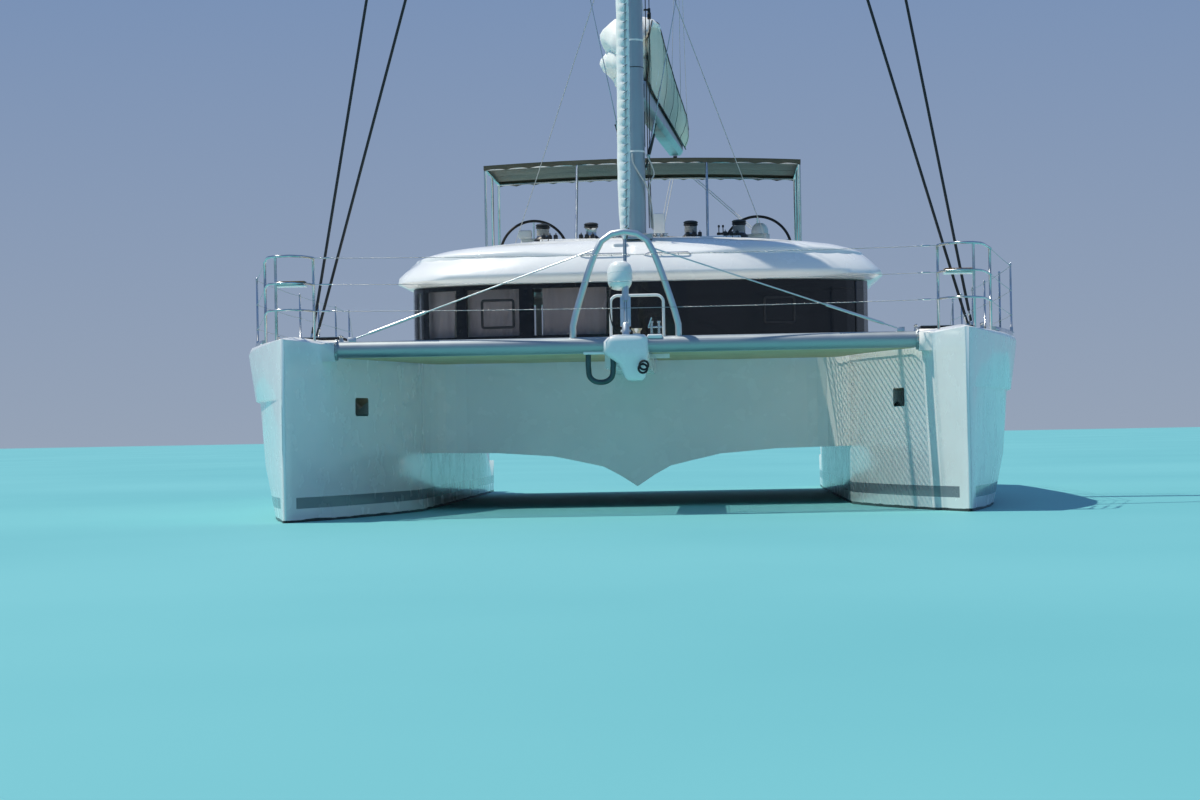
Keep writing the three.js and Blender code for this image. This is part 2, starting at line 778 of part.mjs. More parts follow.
addPair("side_glass", pane(FRONT_SHARE + 0.004, 0.984), smokedAcrylic);

// The aft bulkhead with its doorway and windows, the sliding door, and the rail that it hangs on
const BULKHEAD = { front: CABIN_AFT - 60, half: CABIN.half - WALL - GAP };
const DOOR = { half: 480, foot: SOLE_Z + 40, top: 2760, thick: 36, travel: 930 };
const doorway = box(-430, 430, BULKHEAD.front - 50, CABIN_AFT + 50, SOLE_Z + 60, 2740);
const aftWindow = (x0, x1) => box(x0, x1, BULKHEAD.front - 50, CABIN_AFT + 50, 1950, 2740);
const doorRail = box(-1500, 1500, CABIN_AFT - 5, CABIN_AFT + 60, DOOR.top + GAP, DOOR.top + 60);
add(
  "aft_bulkhead",
  onHulls(
    cut(
      join(
        box(-BULKHEAD.half, BULKHEAD.half, BULKHEAD.front, CABIN_AFT, SOLE_Z + GAP, WALL_TOP_Z - GAP),
        doorRail,
      ),
      doorway,
      aftWindow(620, 1480),
      aftWindow(1560, 2420),
      aftWindow(-1480, -620),
      aftWindow(-2420, -1560),
    ),
    GAP,
    GAP,
  ),
  gelcoat,
);
add(
  "sliding_door",
  cut(
    box(-DOOR.half, DOOR.half, CABIN_AFT + 8, CABIN_AFT + 8 + DOOR.thick, DOOR.foot, DOOR.top),
    box(-DOOR.half + 80, DOOR.half - 80, CABIN_AFT, CABIN_AFT + 18, DOOR.foot + 80, DOOR.top - 80),
  ),
  smokedAcrylic,
);

// Coachroof: a low dome with a brow over the windows, running aft over the cockpit

// Outline of the roof at a height: half width, forward end, aft end.
const ROOF = [
  [WALL_TOP_Z, 3060, 6620, 14190],
  [2905, 3190, 6530, 14240],
  [2970, 3180, 6550, 14230],
  [3080, 3070, 6620, 14170],
  [3190, 2945, 6720, 14090],
  [3270, 2740, 6830, 14020],
  [3330, 2500, 6940, 13960],
  [3380, 2160, 7080, 13880],
  [3415, 1830, 7260, 13790],
  [ROOF_Z, 1400, 7520, 13690],
];
function roofOutline(pz, half, front, aft, curve = 1500, quarter = 8) {
  const port = [];
  for (let i = 0; i <= quarter; i++) {
    const turn = ((i / quarter) * Math.PI) / 2;
    const px = half * Math.sin(turn) ** (2 / CABIN.power);
    port.push([px, front + curve * (1 - Math.cos(turn) ** (2 / CABIN.power))]);
  }
  const round = 260;
  for (const degrees of [0, 30, 60, 90]) {
    const turn = THREE.MathUtils.degToRad(degrees);
    port.push([half - round * (1 - Math.cos(turn)), aft - round * (1 - Math.sin(turn))]);
  }
  const starboard = port.slice(1).map(([px, aftPlace]) => [-px, aftPlace]);
  return [...port, ...starboard.reverse()].map(([px, place]) => [px, y(place), pz]);
}
const WELL_HALF = 2130; // half width of the flybridge well
const HEADROOM_AFT = FLY_FRONT - 200;
const headroom = loft([
  roofOutline(WALL_TOP_Z - 20, 2850, 6880, HEADROOM_AFT),
  roofOutline(3040, 2820, 6920, HEADROOM_AFT),
  roofOutline(3230, 2420, 7120, HEADROOM_AFT),
  roofOutline(3320, 2060, 7400, HEADROOM_AFT),
]);
const flyWell = loft([
  roofOutline(FLY_FLOOR_Z, WELL_HALF - 20, FLY_FRONT, FLY_AFT, 500),
  roofOutline(ROOF_Z + 40, WELL_HALF, FLY_FRONT - 30, FLY_AFT + 30, 500),
]);
const coachroof = cut(loft(ROOF.map((level) => roofOutline(...level))), headroom, flyWell);
add("coachroof", coachroof, gelcoat);

// Posts between the side decks and the hardtop
addPair(
  "hardtop_post",
  onHulls(rod(V(2820, 13750, 1900), V(2820, 13750, WALL_TOP_Z - GAP), 45, 10), 0, GAP),
  aluminium,
);

// Flybridge: helm seat, two consoles with their wheels, and the bimini over them
const FLY_BASE = FLY_FLOOR_Z + GAP;
add(
  "helm_seat",
  join(
    box(-1500, 1500, 12760, 13380, FLY_BASE, 3360),
    box(-1500, 1500, 13240, 13380, 3360, 3720),
  ),
  cushion,
);

const WHEEL = { x: 1615, aft: 12120, z: 3500, radius: 490, rim: 16, shaft: 18 };
const CONSOLE_AFT = 12050;
const wheelHub = (aft) => V(WHEEL.x, aft, WHEEL.z);
addPair(
  "helm_console",
  cut(
    join(
      loft([
        fittingRing(FLY_BASE, 210, 11620, CONSOLE_AFT),
        fittingRing(3330, 190, 11680, CONSOLE_AFT),
        fittingRing(3720, 170, 11840, CONSOLE_AFT - 60),
      ].map((ring) => ring.map(([px, py, pz]) => [px + WHEEL.x, py, pz]))),
      loft([
        fittingRing(FLY_BASE + 20, 200, 11560, 11960),
        fittingRing(3500, 230, 11600, 11940),
        fittingRing(3640, 200, 11680, 11900),
      ].map((ring) => ring.map(([px, py, pz]) => [px + WHEEL.x - 380, py, pz]))),
    ),
    rod(wheelHub(11930), wheelHub(CONSOLE_AFT + 20), WHEEL.shaft + 0.5, 24),
  ),
  gelcoat,
);
const rim = new THREE.TorusGeometry(WHEEL.radius, WHEEL.rim, 6, 24);
rim.rotateX(Math.PI / 2).translate(WHEEL.x, y(WHEEL.aft), WHEEL.z);
const SPOKES = 5;
const spokes = Array.from({ length: SPOKES }, (_, i) => {
  const turn = Math.PI / 2 + (i * 2 * Math.PI) / SPOKES;
  const end = new THREE.Vector3(Math.cos(turn), 0, Math.sin(turn)).multiplyScalar(WHEEL.radius);
  return rod(wheelHub(WHEEL.aft), end.add(wheelHub(WHEEL.aft)), 9, 6);
});
addPair(
  "helm_wheel",
  join(
    solidOf(rim),
    ...spokes,
    rod(wheelHub(WHEEL.aft - 20), wheelHub(WHEEL.aft + 25), 45, 12),
    rod(wheelHub(11940), wheelHub(WHEEL.aft), WHEEL.shaft, 24),
  ),
  stainless,
);

const BIMINI = { half: 2220, front: 10500, aft: 13400, z: 4640, crown: 60, thick: 22 };
const SADDLE_Z = 3280; // the bimini's legs end on the roof, above this
const CANOPY_ROWS = [0, 0.25, 0.5, 0.75, 1];
function canopyRing(share) {
  const { half, front, aft, z, crown, thick } = BIMINI;
  const across = [-1, -0.5, 0, 0.5, 1];
  const rise = (s) => crown * (1 - s * s);
  const under = across.map((s) => [s * half, z + rise(s)]);
  const over = across.map((s) => [s * half, z + rise(s) + thick]).reverse();
  return [...under, ...over].map(([px, pz]) => [px, y(lerp(front, aft, share)), pz]);
}
add("bimini_canopy", loft(CANOPY_ROWS.map(canopyRing)), canvas);

const TUBE = 19;
const bowZ = BIMINI.z - TUBE - GAP;
const railZ = BIMINI.z - TUBE * Math.cos(Math.PI / 8) + GAP; // its top facet lies under the canopy
function biminiFrame() {
  const bow = (aft) => {
    const points = [-1, -0.5, 0, 0.5, 1].map((s) =>
      V(s * (BIMINI.half - 25), aft, bowZ + (BIMINI.crown - 8) * (1 - s * s)),
    );
    return bent(points, TUBE, 6, 8);
  };
  const port = BIMINI.half - 25;
  const legs = [-1, 1].flatMap((s) => [
    rod(V(s * port, 10560, SADDLE_Z), V(s * port, 10540, bowZ), TUBE, 8),
    rod(V(s * port, 11950, SADDLE_Z), V(s * port, 11950, bowZ), TUBE, 8),
    rod(V(s * port, 13250, SADDLE_Z), V(s * port, 13360, bowZ), TUBE, 8),
    rod(V(s * 903, 9610, ROOF_Z - 50), V(s * 903, 10540, bowZ + 50), TUBE, 8),
    rod(V(s * port, 10540, railZ), V(s * port, 13360, railZ), TUBE, 8),
  ]);
  return cut(join(bow(10540), bow(13360), ...legs), moved(coachroof, 0, 0, GAP));
}
add("bimini_frame", biminiFrame(), stainless);

// Winches on the roof, ahead of the flybridge
const WINCH_X = [1330, 675];
const WINCH_AFT = 9250;
const WINCH = [
  [0, 0],
  [112, 0],
  [108, 45],
  [82, 70],
  [80, 175],
  [98, 205],
  [96, 232],
  [60, 250],
  [0, 250],
];
const winchSeat = ROOF_Z + 50;
const drums = WINCH_X.map((px) => turned(WINCH, 12, V(px, WINCH_AFT, winchSeat - 1)));
const plinth = box(
  WINCH_X[1] - 150,
  WINCH_X[0] + 150,
  WINCH_AFT - 150,
  WINCH_AFT + 150,
  ROOF_Z - 60,
  winchSeat,
);
addPair("winches", cut(join(plinth, ...drums), moved(coachroof, 0, 0, GAP)), stainless);

// Saloon and cockpit furniture
const FLOOR = SOLE_Z + GAP;
const table = (px, aft, halfX, halfY, top) =>
  join(
    box(px - halfX, px + halfX, aft - halfY, aft + halfY, top - 35, top),
    rod(V(px, aft, FLOOR), V(px, aft, top - 30), 60, 12),
    rod(V(px, aft, FLOOR), V(px, aft, FLOOR + 25), 190, 12),
  );
// The saloon settee and its table stand on a raised floor.
add(
  "saloon_furniture",
  join(
    box(-2550, -500, 7400, 10400, FLOOR, FLOOR + 90),
    table(-1150, 9000, 450, 650, 1740),
    box(-2550, -600, 7300, 7420, FLOOR, 1900),
    box(-2550, -600, 7400, 8050, FLOOR, 1440),
    box(-2550, -1900, 7400, 10400, FLOOR, 1440),
    box(-2550, -2430, 7400, 10400, FLOOR, 1900),
  ),
  cushion,
);
add(
  "galley",
  join(
    box(1900, 2550, 7300, 11000, FLOOR, 1920),
    box(900, 2550, 7300, 7900, FLOOR, 1920),
  ),
  gelcoat,
);
add(
  "mast_post",
  cut(rod(V(0, MAST_AFT, FLOOR), V(0, MAST_AFT, ROOF_Z - 80), 60, 12), moved(coachroof, 0, 0, -GAP)),
  aluminium,
);
add(
  "cockpit_settee",
  join(
    box(-2550, -500, 13750, COCKPIT_AFT - GAP, FLOOR, 1420),
    box(-2550, -500, 14330, COCKPIT_AFT - GAP, FLOOR, 1860),
    box(-2550, -1900, 11900, COCKPIT_AFT - GAP, FLOOR, 1420),
    box(-2550, -2400, 11900, COCKPIT_AFT - GAP, FLOOR, 1860),
  ),
  cushion,
);
add("cockpit_table", table(-1150, 12950, 430, 560, 1710), wood);

// Rig

const MAST = { chord: 200, half: 115, bottom: ROOF_Z - 50 };
const MAST_ENDS = [
  [MAST.bottom, 1],
  [HOUNDS_Z, 1],
  [MAST_TOP_Z, 0.6],
];
function mastRing([pz, share]) {
  const ring = 16;
  return Array.from({ length: ring }, (_, i) => {
    const turn = ((i + 0.5) / ring) * 2 * Math.PI;
    const px = MAST.half * share * Math.cos(turn);
    const place = MAST_AFT - MAST.chord * (1 - share) + MAST.chord * share * Math.sin(turn);
    return [px, y(place), pz];
  });
}
const GOOSE = { aft: MAST_AFT + 330, z: BOOM_Z + 150, pin: 14 };
function mast() {
  const lug = (z) => box(-45, 45, MAST_AFT + 150, GOOSE.aft + 45, z, z + 22);
  const pin = rod(V(0, GOOSE.aft, GOOSE.z - 90), V(0, GOOSE.aft, GOOSE.z + 90), GOOSE.pin, 12);
  const masthead = box(-60, 60, MAST_AFT - 330, MAST_AFT + 60, MAST_TOP_Z - 120, MAST_TOP_Z + 20);
  const antenna = rod(V(0, MAST_AFT - 80, MAST_TOP_Z - 50), V(0, MAST_AFT - 80, 28700), 6, 6);
  const foot = box(-190, 190, MAST_AFT - 290, MAST_AFT + 290, MAST.bottom, ROOF_Z + 20);
  const tang = box(-18, 18, MAST_AFT - 265, MAST_AFT - 100, HOUNDS_Z - 52, HOUNDS_Z + 70);
  return cut(
    join(
      loft(MAST_ENDS.map(mastRing)),
      lug(GOOSE.z - 90),
      lug(GOOSE.z + 68),
      pin,
      masthead,
      antenna,
      foot,
      tang,
    ),
    moved(coachroof, 0, 0, GAP),
  );
}
const mastSolid = mast();
add("mast", mastSolid, aluminium);

// Spreaders: height, half span, sweep aft at the tip.
const SPREADERS = { lower: [11400, 1500, 200], upper: [17200, 1250, 160] };
const around = cut(
  loft([
    mastRing([0, 1.25]).map(([px, py]) => [px, py, -60]),
    mastRing([0, 1.25]).map(([px, py]) => [px, py, 60]),
  ]),
  loft([
    mastRing([0, 1.003]).map(([px, py]) => [px, py, -70]),
    mastRing([0, 1.003]).map(([px, py]) => [px, py, 70]),
  ]),
);
Object.entries(SPREADERS).forEach(([name, [pz, half, sweep]]) => {
  const arm = (s) => {
    const from = V(s * (MAST.half + 8), MAST_AFT, 0);
    return rod(from, V(s * (half - 3.6), MAST_AFT + sweep, 0), 26, 8);
  };
  add(`spreaders_${name}`, moved(join(around, arm(1), arm(-1)), 0, 0, pz), aluminium);
});

// Diamond stays: from the mast over both spreader tips and back to the mast.
const DIAMOND = { foot: 4300, head: 23500, radius: 7 };
function diamond() {
  const off = DIAMOND.radius + 5 * GAP;
  const tip = ([pz, half, sweep]) => V(half + off, MAST_AFT + sweep, pz);
  const points = [
    V(MAST.half + off + 1, MAST_AFT, DIAMOND.foot),
    tip(SPREADERS.lower),
    tip(SPREADERS.upper),
    V(MAST.half + off + 1, MAST_AFT, DIAMOND.head),
  ];
  const screw = points[0].clone().lerp(points[1], 0.02);
  const thick = rod(screw, points[0].clone().lerp(points[1], 0.09), 16, 8);
  return join(wire(points, DIAMOND.radius), thick);
}
addPair("diamond_stay", diamond(), stainless);

// A cap shroud to the hounds and a lower shroud, each on its own chainplate: where its foot stands
// along the boat from the middle of the pair, head height, and where its sleeve starts.
const CHAINPLATE = { x: 4380, aft: 8100, z: DECK_Z };
const SLEEVE = 5200;
const SHROUDS = {
  cap_shroud: [-140, HOUNDS_Z, 2420],
  lower_shroud: [140, LOWER_HOUNDS_Z, 2380],
};
Object.entries(SHROUDS).forEach(([name, [place, head, sleeve]]) => {
  const { x, aft, z } = CHAINPLATE;
  const foot = V(x, aft + place, z + 60);
  const top = V(MAST.half + 30, MAST_AFT + 20, head);
  const at = (height) => foot.clone().lerp(top, (height - foot.z) / (top.z - foot.z));
  const plateSolid = box(x - 28, x + 28, aft + place - 70, aft + place + 70, z - 40, z + 75);
  const strand = rod(foot, top, 8, 6);
  const screw = rod(at(z + 90), at(z + 420), 19, 8);
  const cover = rod(at(sleeve), at(sleeve + SLEEVE), 20, 8);
  const stay = cut(join(strand, screw, cover, plateSolid), moved(mastSolid, GAP, 0, 0));
  addPair(name, onHulls(stay, 0, GAP), wireSleeve);
});

// Boom and stowed mainsail, turned about the gooseneck pin
const boomTurn = new THREE.Group();
boomTurn.position.copy(V(0, GOOSE.aft, 0));
boomTurn.rotation.z = -BOOM_SWING;
group.add(boomTurn);
const fromPin = (px, py, pz) => new THREE.Vector3(px, py, pz); // places from the pin, along the boom

// Boom section: half width, bottom, top; then its places along the boom.
function boomRing(py, share) {
  const half = 125 * share;
  const low = BOOM_Z + 170 * (1 - share);
  const high = BOOM_Z + 330;
  const outline = [
    [-half * 0.6, low],
    [half * 0.6, low],
    [half, low + 70 * share],
    [half, high],
    [-half, high],
    [-half, low + 70 * share],
  ];
  return outline.map(([px, pz]) => [px, py, pz]);
}
const EYE = 60; // the boom's front fitting turns on the pin between the two lugs
const boomSolid = cut(
  join(
    loft([
      boomRing(110, 0.7),
      boomRing(260, 1),
      boomRing(BOOM_LENGTH - 400, 1),
      boomRing(BOOM_LENGTH, 0.8),
    ]),
    rod(fromPin(0, 0, GOOSE.z - EYE), fromPin(0, 0, GOOSE.z + EYE), 38, 14),
    solidOf(new THREE.BoxGeometry(44, 140, 2 * EYE - 10).translate(0, 90, GOOSE.z)),
  ),
  rod(fromPin(0, 0, GOOSE.z - 200), fromPin(0, 0, GOOSE.z + 200), GOOSE.pin + 1.2, 14),
);
add("boom", boomSolid, aluminium, boomTurn);

// The sail bag with the folded mainsail: place along the boom, half width to starboard and to
// port, bottom, top.
const BAG = [
  [330, 200, 160, 5500, 6120],
  [700, 440, 260, 5450, 6400],
  [1400, 580, 330, 5420, 6430],
  [3000, 420, 320, 5390, 6280],
  [5200, 330, 290, 5350, 6040],
  [7200, 260, 240, 5300, 5780],
  [8050, 190, 185, 5280, 5640],
];
const BAG_LOW_HALF = 152; // the bag's sides hang down beside the boom
function bagRing([py, starboardHalf, portHalf, low, high]) {
  const outline = [
    [BAG_LOW_HALF, low],
    [portHalf * 0.92, lerp(low, high, 0.22)],
    [portHalf, lerp(low, high, 0.5)],
    [portHalf * 0.85, lerp(low, high, 0.78)],
    [portHalf * 0.35, lerp(low, high, 0.97)],
    [0, high],
    [-starboardHalf * 0.35, lerp(low, high, 0.97)],
    [-starboardHalf * 0.85, lerp(low, high, 0.78)],
    [-starboardHalf, lerp(low, high, 0.5)],
    [-starboardHalf * 0.85, lerp(low, high, 0.22)],
    [-BAG_LOW_HALF, low],
  ];
  return outline.map(([px, pz]) => [px, py, pz]);
}
const boomRoom = solidOf(
  new THREE.BoxGeometry(250 + 2 * GAP, 9000, 330).translate(0, 4300, BOOM_Z + 165 + GAP),
);
add("sail_bag", cut(loft(BAG.map(bagRing)), boomRoom), bagCanvas, boomTurn);

// Forestay: the furled genoa turns with its foil on the stay, above the furler's gear case.
const STAY_FOOT = V(0, BEAM_AFT - 20, FITTING.top);
const STAY_HEAD = V(0, MAST_AFT - MAST.chord - 40, HOUNDS_Z);
const stayAxis = STAY_HEAD.clone().sub(STAY_FOOT).normalize();
const stayLength = STAY_HEAD.distanceTo(STAY_FOOT);
const onStay = (distance) => STAY_FOOT.clone().addScaledVector(stayAxis, distance);
const FURL = {
  caseFrom: 560,
  caseTo: 840,
  sailFrom: 1120,
  pole: 20,
  radius: 74,
  to: stayLength - 500,
};
add(
  "forestay",
  cut(
    join(
      rod(onStay(2), onStay(FURL.caseFrom + 20), 14, 8),
      rod(onStay(70), onStay(400), 24, 8),
      box(-30, 30, BEAM_AFT - 60, BEAM_AFT + 20, FITTING.top - 30, FITTING.top + 70),
      loft([
        fittingRing(onStay(FURL.caseFrom).z, 120, 1010, 1290),
        fittingRing(onStay(FURL.caseTo).z, 120, 1050, 1330),
      ].map((ring) => ring.map(([px, py, pz]) => [px - 50, py - 10, pz]))),
    ),
    moved(box(-300, 300, 800, FITTING.aft, 1400, FITTING.top), 0, 0, GAP),
    rod(onStay(FURL.caseTo - 90), onStay(FURL.caseTo + 90), FURL.pole + 0.7, 24),
  ),
  gelcoat,
);
add(
  "furled_genoa",
  turned(
    [
      [0, FURL.caseTo - 80],
      [FURL.pole, FURL.caseTo - 80],
      [FURL.pole, FURL.sailFrom],
      [46, FURL.sailFrom + 60],
      [66, FURL.sailFrom + 420],
      [FURL.radius, FURL.sailFrom + 1100],
      [FURL.radius, stayLength * 0.62],
      [50, FURL.to - 900],
      [30, FURL.to],
      [16, FURL.to + 10],
      [16, stayLength - 60],
      [0, stayLength - 60],
    ],
    12,
    STAY_FOOT,
    stayAxis,
  ),
  sailcloth,
);

export default group;
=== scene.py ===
# %% [markdown]
# # A cruising catamaran in the studio
# The boat comes in as a finished model: every piece at its real size, in metres, with the
# waterline at height 0, the bows towards -Y and the port side towards +X. This script gives the
# pieces their surfaces and adds what a builder fits last: cloth, cushions, lines and small gear.

import json
import math

import bmesh
import bpy
import numpy as np
from mathutils import Matrix
from mathutils.bvhtree import BVHTree

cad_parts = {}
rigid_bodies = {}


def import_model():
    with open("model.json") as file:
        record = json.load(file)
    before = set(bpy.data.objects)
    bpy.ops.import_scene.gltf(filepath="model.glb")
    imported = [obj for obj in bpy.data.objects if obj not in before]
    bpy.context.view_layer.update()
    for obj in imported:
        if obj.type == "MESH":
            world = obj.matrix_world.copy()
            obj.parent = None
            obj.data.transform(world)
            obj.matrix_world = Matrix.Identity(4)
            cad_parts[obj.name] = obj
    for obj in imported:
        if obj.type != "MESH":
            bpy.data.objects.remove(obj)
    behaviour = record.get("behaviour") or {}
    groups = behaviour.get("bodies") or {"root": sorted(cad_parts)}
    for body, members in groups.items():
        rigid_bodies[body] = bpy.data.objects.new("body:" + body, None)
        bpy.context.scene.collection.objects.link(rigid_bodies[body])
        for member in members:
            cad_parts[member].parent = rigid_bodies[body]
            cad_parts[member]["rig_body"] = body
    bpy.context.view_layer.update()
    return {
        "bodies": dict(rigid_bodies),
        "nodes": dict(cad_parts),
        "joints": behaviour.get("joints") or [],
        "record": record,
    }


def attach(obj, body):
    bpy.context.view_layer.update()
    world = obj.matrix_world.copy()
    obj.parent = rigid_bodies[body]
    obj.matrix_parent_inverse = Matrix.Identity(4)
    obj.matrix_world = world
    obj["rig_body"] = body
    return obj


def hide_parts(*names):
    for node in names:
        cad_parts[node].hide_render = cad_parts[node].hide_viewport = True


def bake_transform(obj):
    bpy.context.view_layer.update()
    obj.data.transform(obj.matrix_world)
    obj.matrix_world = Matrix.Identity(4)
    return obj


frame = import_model()
nodes = frame["nodes"]

# %% [markdown]
# ## Places on the boat
# A boatbuilder measures along a boat from the stem, going aft. The lists of points below do the
# same: across (to port), aft of the stem, and up from the waterline. One function turns them into
# the model's own frame, whose origin is amidships.

# %% Places from the stem
LENGTH = 17.07
HULL_X = 3.65  # centre plane of each hull
SIDES = {"port": 1, "starboard": -1}


def boat(points):
    """Points given as (across, aft of the stem, up), moved into the model's frame: aft - LENGTH / 2."""
    return np.asarray(points, float) - (0, LENGTH / 2, 0)


def lerp(a, b, share):
    """The point a share of the way from a to b: a + (b - a) * share."""
    return np.asarray(a, float) + (np.asarray(b, float) - np.asarray(a, float)) * share


def put(name, data):
    """A new object with its data, put into the scene."""
    made = bpy.data.objects.new(name, data)
    bpy.context.scene.collection.objects.link(made)
    return made


# %% [markdown]
# ## The camera
# The camera stands off the bows with a long lens, less than a metre above the waterline and a
# little to port. Yaw, pitch and roll were fitted to the stems, the crossbeam and the waterline in
# the picture. A camera looks along its own -Z, so its axes are the columns right, up and back.

# %% Place the camera
CAMERA_AT = (0.98, -42.50, 0.90)
LENS_MM = 95.7
yaw, pitch, roll = np.radians([2.09, 0.60, -1.04])
level = np.array([np.cos(yaw), np.sin(yaw), 0])
ahead = np.array([-np.sin(yaw), np.cos(yaw), 0])
skyward = np.array([0, 0, 1])
forward = ahead * np.cos(pitch) + skyward * np.sin(pitch)
upright = -ahead * np.sin(pitch) + skyward * np.cos(pitch)
right = level * np.cos(roll) + upright * np.sin(roll)
above = -level * np.sin(roll) + upright * np.cos(roll)

lens = bpy.data.cameras.new("camera")
lens.lens, lens.sensor_width = LENS_MM, 36
lens.clip_start, lens.clip_end = 0.5, 2000
camera = put("camera", lens)
placement = np.eye(4)
placement[:3, 0], placement[:3, 1], placement[:3, 2] = right, above, -forward
placement[:3, 3] = CAMERA_AT
camera.matrix_world = Matrix(placement.tolist())
bpy.context.scene.camera = camera
print("camera looks along", forward.round(3))

# %% [markdown]
# ## The studio
# A plain floor lies at the waterline, so the boat sits in it as deep as it floats. It is painted
# a pale blue-green, because in the photograph light from below gives the shaded gelcoat that cast.
# High sun comes from starboard and a little from astern, so the bridgedeck's front lies in shade
# and the net throws its pattern on the port hull. A sky-blue surround, paler low down, fills the shadows.

# %% Floor and lights
FLOOR_HALF = 600.0
floor_mesh = bpy.data.meshes.new("floor")
floor_mesh.from_pydata(
    [(-FLOOR_HALF, -FLOOR_HALF, 0), (FLOOR_HALF, -FLOOR_HALF, 0),
     (FLOOR_HALF, FLOOR_HALF, 0), (-FLOOR_HALF, FLOOR_HALF, 0)],
    [], [(0, 1, 2, 3)],
)
floor = put("floor", floor_mesh)

sun = bpy.data.lights.new("high_sun", "SUN")
sun.energy, sun.angle = 3.9, math.radians(0.8)
sun.color = (1.0, 0.94, 0.83)
sun_lamp = put("high_sun", sun)
TOWARDS_SUN = np.array([-0.42, 0.10, 0.90])
sun_lamp.rotation_euler = (
    np.arctan2(np.hypot(*TOWARDS_SUN[:2]), TOWARDS_SUN[2]),
    0,
    np.arctan2(TOWARDS_SUN[1], TOWARDS_SUN[0]) + np.pi / 2,
)

world = bpy.data.worlds.new("sky_surround")
world.use_nodes = True
sky = world.node_tree
surround = sky.nodes["Background"]
surround.inputs["Strength"].default_value = 0.60
direction = sky.nodes.new("ShaderNodeTexCoord")
parts = sky.nodes.new("ShaderNodeSeparateXYZ")
band = sky.nodes.new("ShaderNodeMapRange")
band.inputs["From Min"].default_value, band.inputs["From Max"].default_value = -0.02, 0.22
blend_sky = sky.nodes.new("ShaderNodeMix")
blend_sky.data_type = "RGBA"
blend_sky.inputs[6].default_value = (0.53, 0.63, 0.79, 1)
blend_sky.inputs[7].default_value = (0.22, 0.40, 0.77, 1)
sky.links.new(direction.outputs["Generated"], parts.inputs[0])
sky.links.new(parts.outputs["Z"], band.inputs["Value"])
sky.links.new(band.outputs["Result"], blend_sky.inputs[0])
sky.links.new(blend_sky.outputs[2], surround.inputs["Color"])
bpy.context.scene.world = world
bpy.context.scene.view_settings.view_transform = "Standard"


# %% [markdown]
# ## Shapes as arrays
# A shape here is a pair: an array of points, and a list of arrays of faces that count into it.
# Whole surfaces are worked out at once: a grid of points from two parameters, and one formula for
# the quads between them. Several shapes are then put together as one piece.

# %% Grids, joined shapes and new pieces
def grid_faces(rows, columns, close_rows=False, close_columns=False):
    """Quads of a grid: cell (r, c) joins points (r, c), (r, c + 1), (r + 1, c + 1), (r + 1, c)."""
    r = np.arange(rows if close_rows else rows - 1)[:, None]
    c = np.arange(columns if close_columns else columns - 1)[None, :]
    after_r, after_c = (r + 1) % rows, (c + 1) % columns
    corners = [r * columns + c, r * columns + after_c, after_r * columns + after_c, after_r * columns + c]
    return np.stack(np.broadcast_arrays(*corners), axis=-1).reshape(-1, 4)


def rings(grid, closed_path=False):
    """A closed body from a grid whose rows are rings: quads between rings and a cap on each end."""
    rows, columns = grid.shape[:2]
    faces = [grid_faces(rows, columns, close_rows=closed_path, close_columns=True)]
    if not closed_path:
        last = (rows - 1) * columns
        faces += [np.arange(columns)[None, ::-1], last + np.arange(columns)[None, :]]
    return grid.reshape(-1, 3), faces


def joined(shapes):
    """Several shapes as one: each one's faces count on from the points before it."""
    points, faces, start = [], [], 0
    for spots, groups in shapes:
        points.append(spots)
        faces += [group + start for group in groups]
        start += len(spots)
    return np.concatenate(points), faces


def xyz(x, y, z):
    """Points from their three coordinates, each a number or an array, spread to one shape."""
    return np.stack(np.broadcast_arrays(x, y, z), axis=-1)


def open_cloth(grid):
    """A cloth of no thickness from a grid of boat places."""
    return boat(grid.reshape(-1, 3)), [grid_faces(*grid.shape[:2])]


def mesh_of(name, shape):
    """A mesh from a shape or a list of shapes."""
    points, groups = joined(shape) if isinstance(shape, list) else shape
    mesh = bpy.data.meshes.new(name)
    mesh.from_pydata(points.tolist(), [], [face for group in groups for face in group.tolist()])
    return mesh


def mended(mesh, weld=0.0, outward=True):
    """Joins the mesh's points that lie within the weld's distance, and turns its faces outwards."""
    work = bmesh.new()
    work.from_mesh(mesh)
    if weld:
        bmesh.ops.remove_doubles(work, verts=work.verts, dist=weld)
    if outward:
        bmesh.ops.recalc_face_normals(work, faces=work.faces)
    work.to_mesh(mesh)
    work.free()


def flipped(shape):
    """The shape on the other side of the centre plane: x -> -x, with its faces turned back."""
    points, groups = shape
    return points * (-1, 1, 1), [group[:, ::-1] for group in groups]


SMOOTH_UP_TO = 42  # degrees between two faces


def piece(name, shape, finish, body="root", stands_for=(), slot=None, closed=True, smooth=SMOOTH_UP_TO):
    """A new object from a shape, riding on a body; closed shapes get their faces turned outwards.

    With body None it rides on no body. The slot is not used.
    """
    mesh = mesh_of(name, shape)
    if closed:
        mended(mesh)
    mesh.shade_smooth()
    mesh.set_sharp_from_angle(angle=math.radians(smooth))
    made = put(name, mesh)
    mesh.materials.append(finish)
    if body:
        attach(made, body)
    if stands_for:
        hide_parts(*stands_for)
    return made


def pair(name, shape, finish, **how):
    """The same piece on both sides of the boat."""
    whole = joined(shape) if isinstance(shape, list) else shape
    return [piece(f"{name}_{side}", whole if s > 0 else flipped(whole), finish, **how)
            for side, s in SIDES.items()]


# %% [markdown]
# ## Bars, turned pieces and blocks
# Most of a boat's fittings are a round bar along a path, a turned piece, or a block with soft
# edges. Each is one formula, so a hundred of them cost no more thought than one.

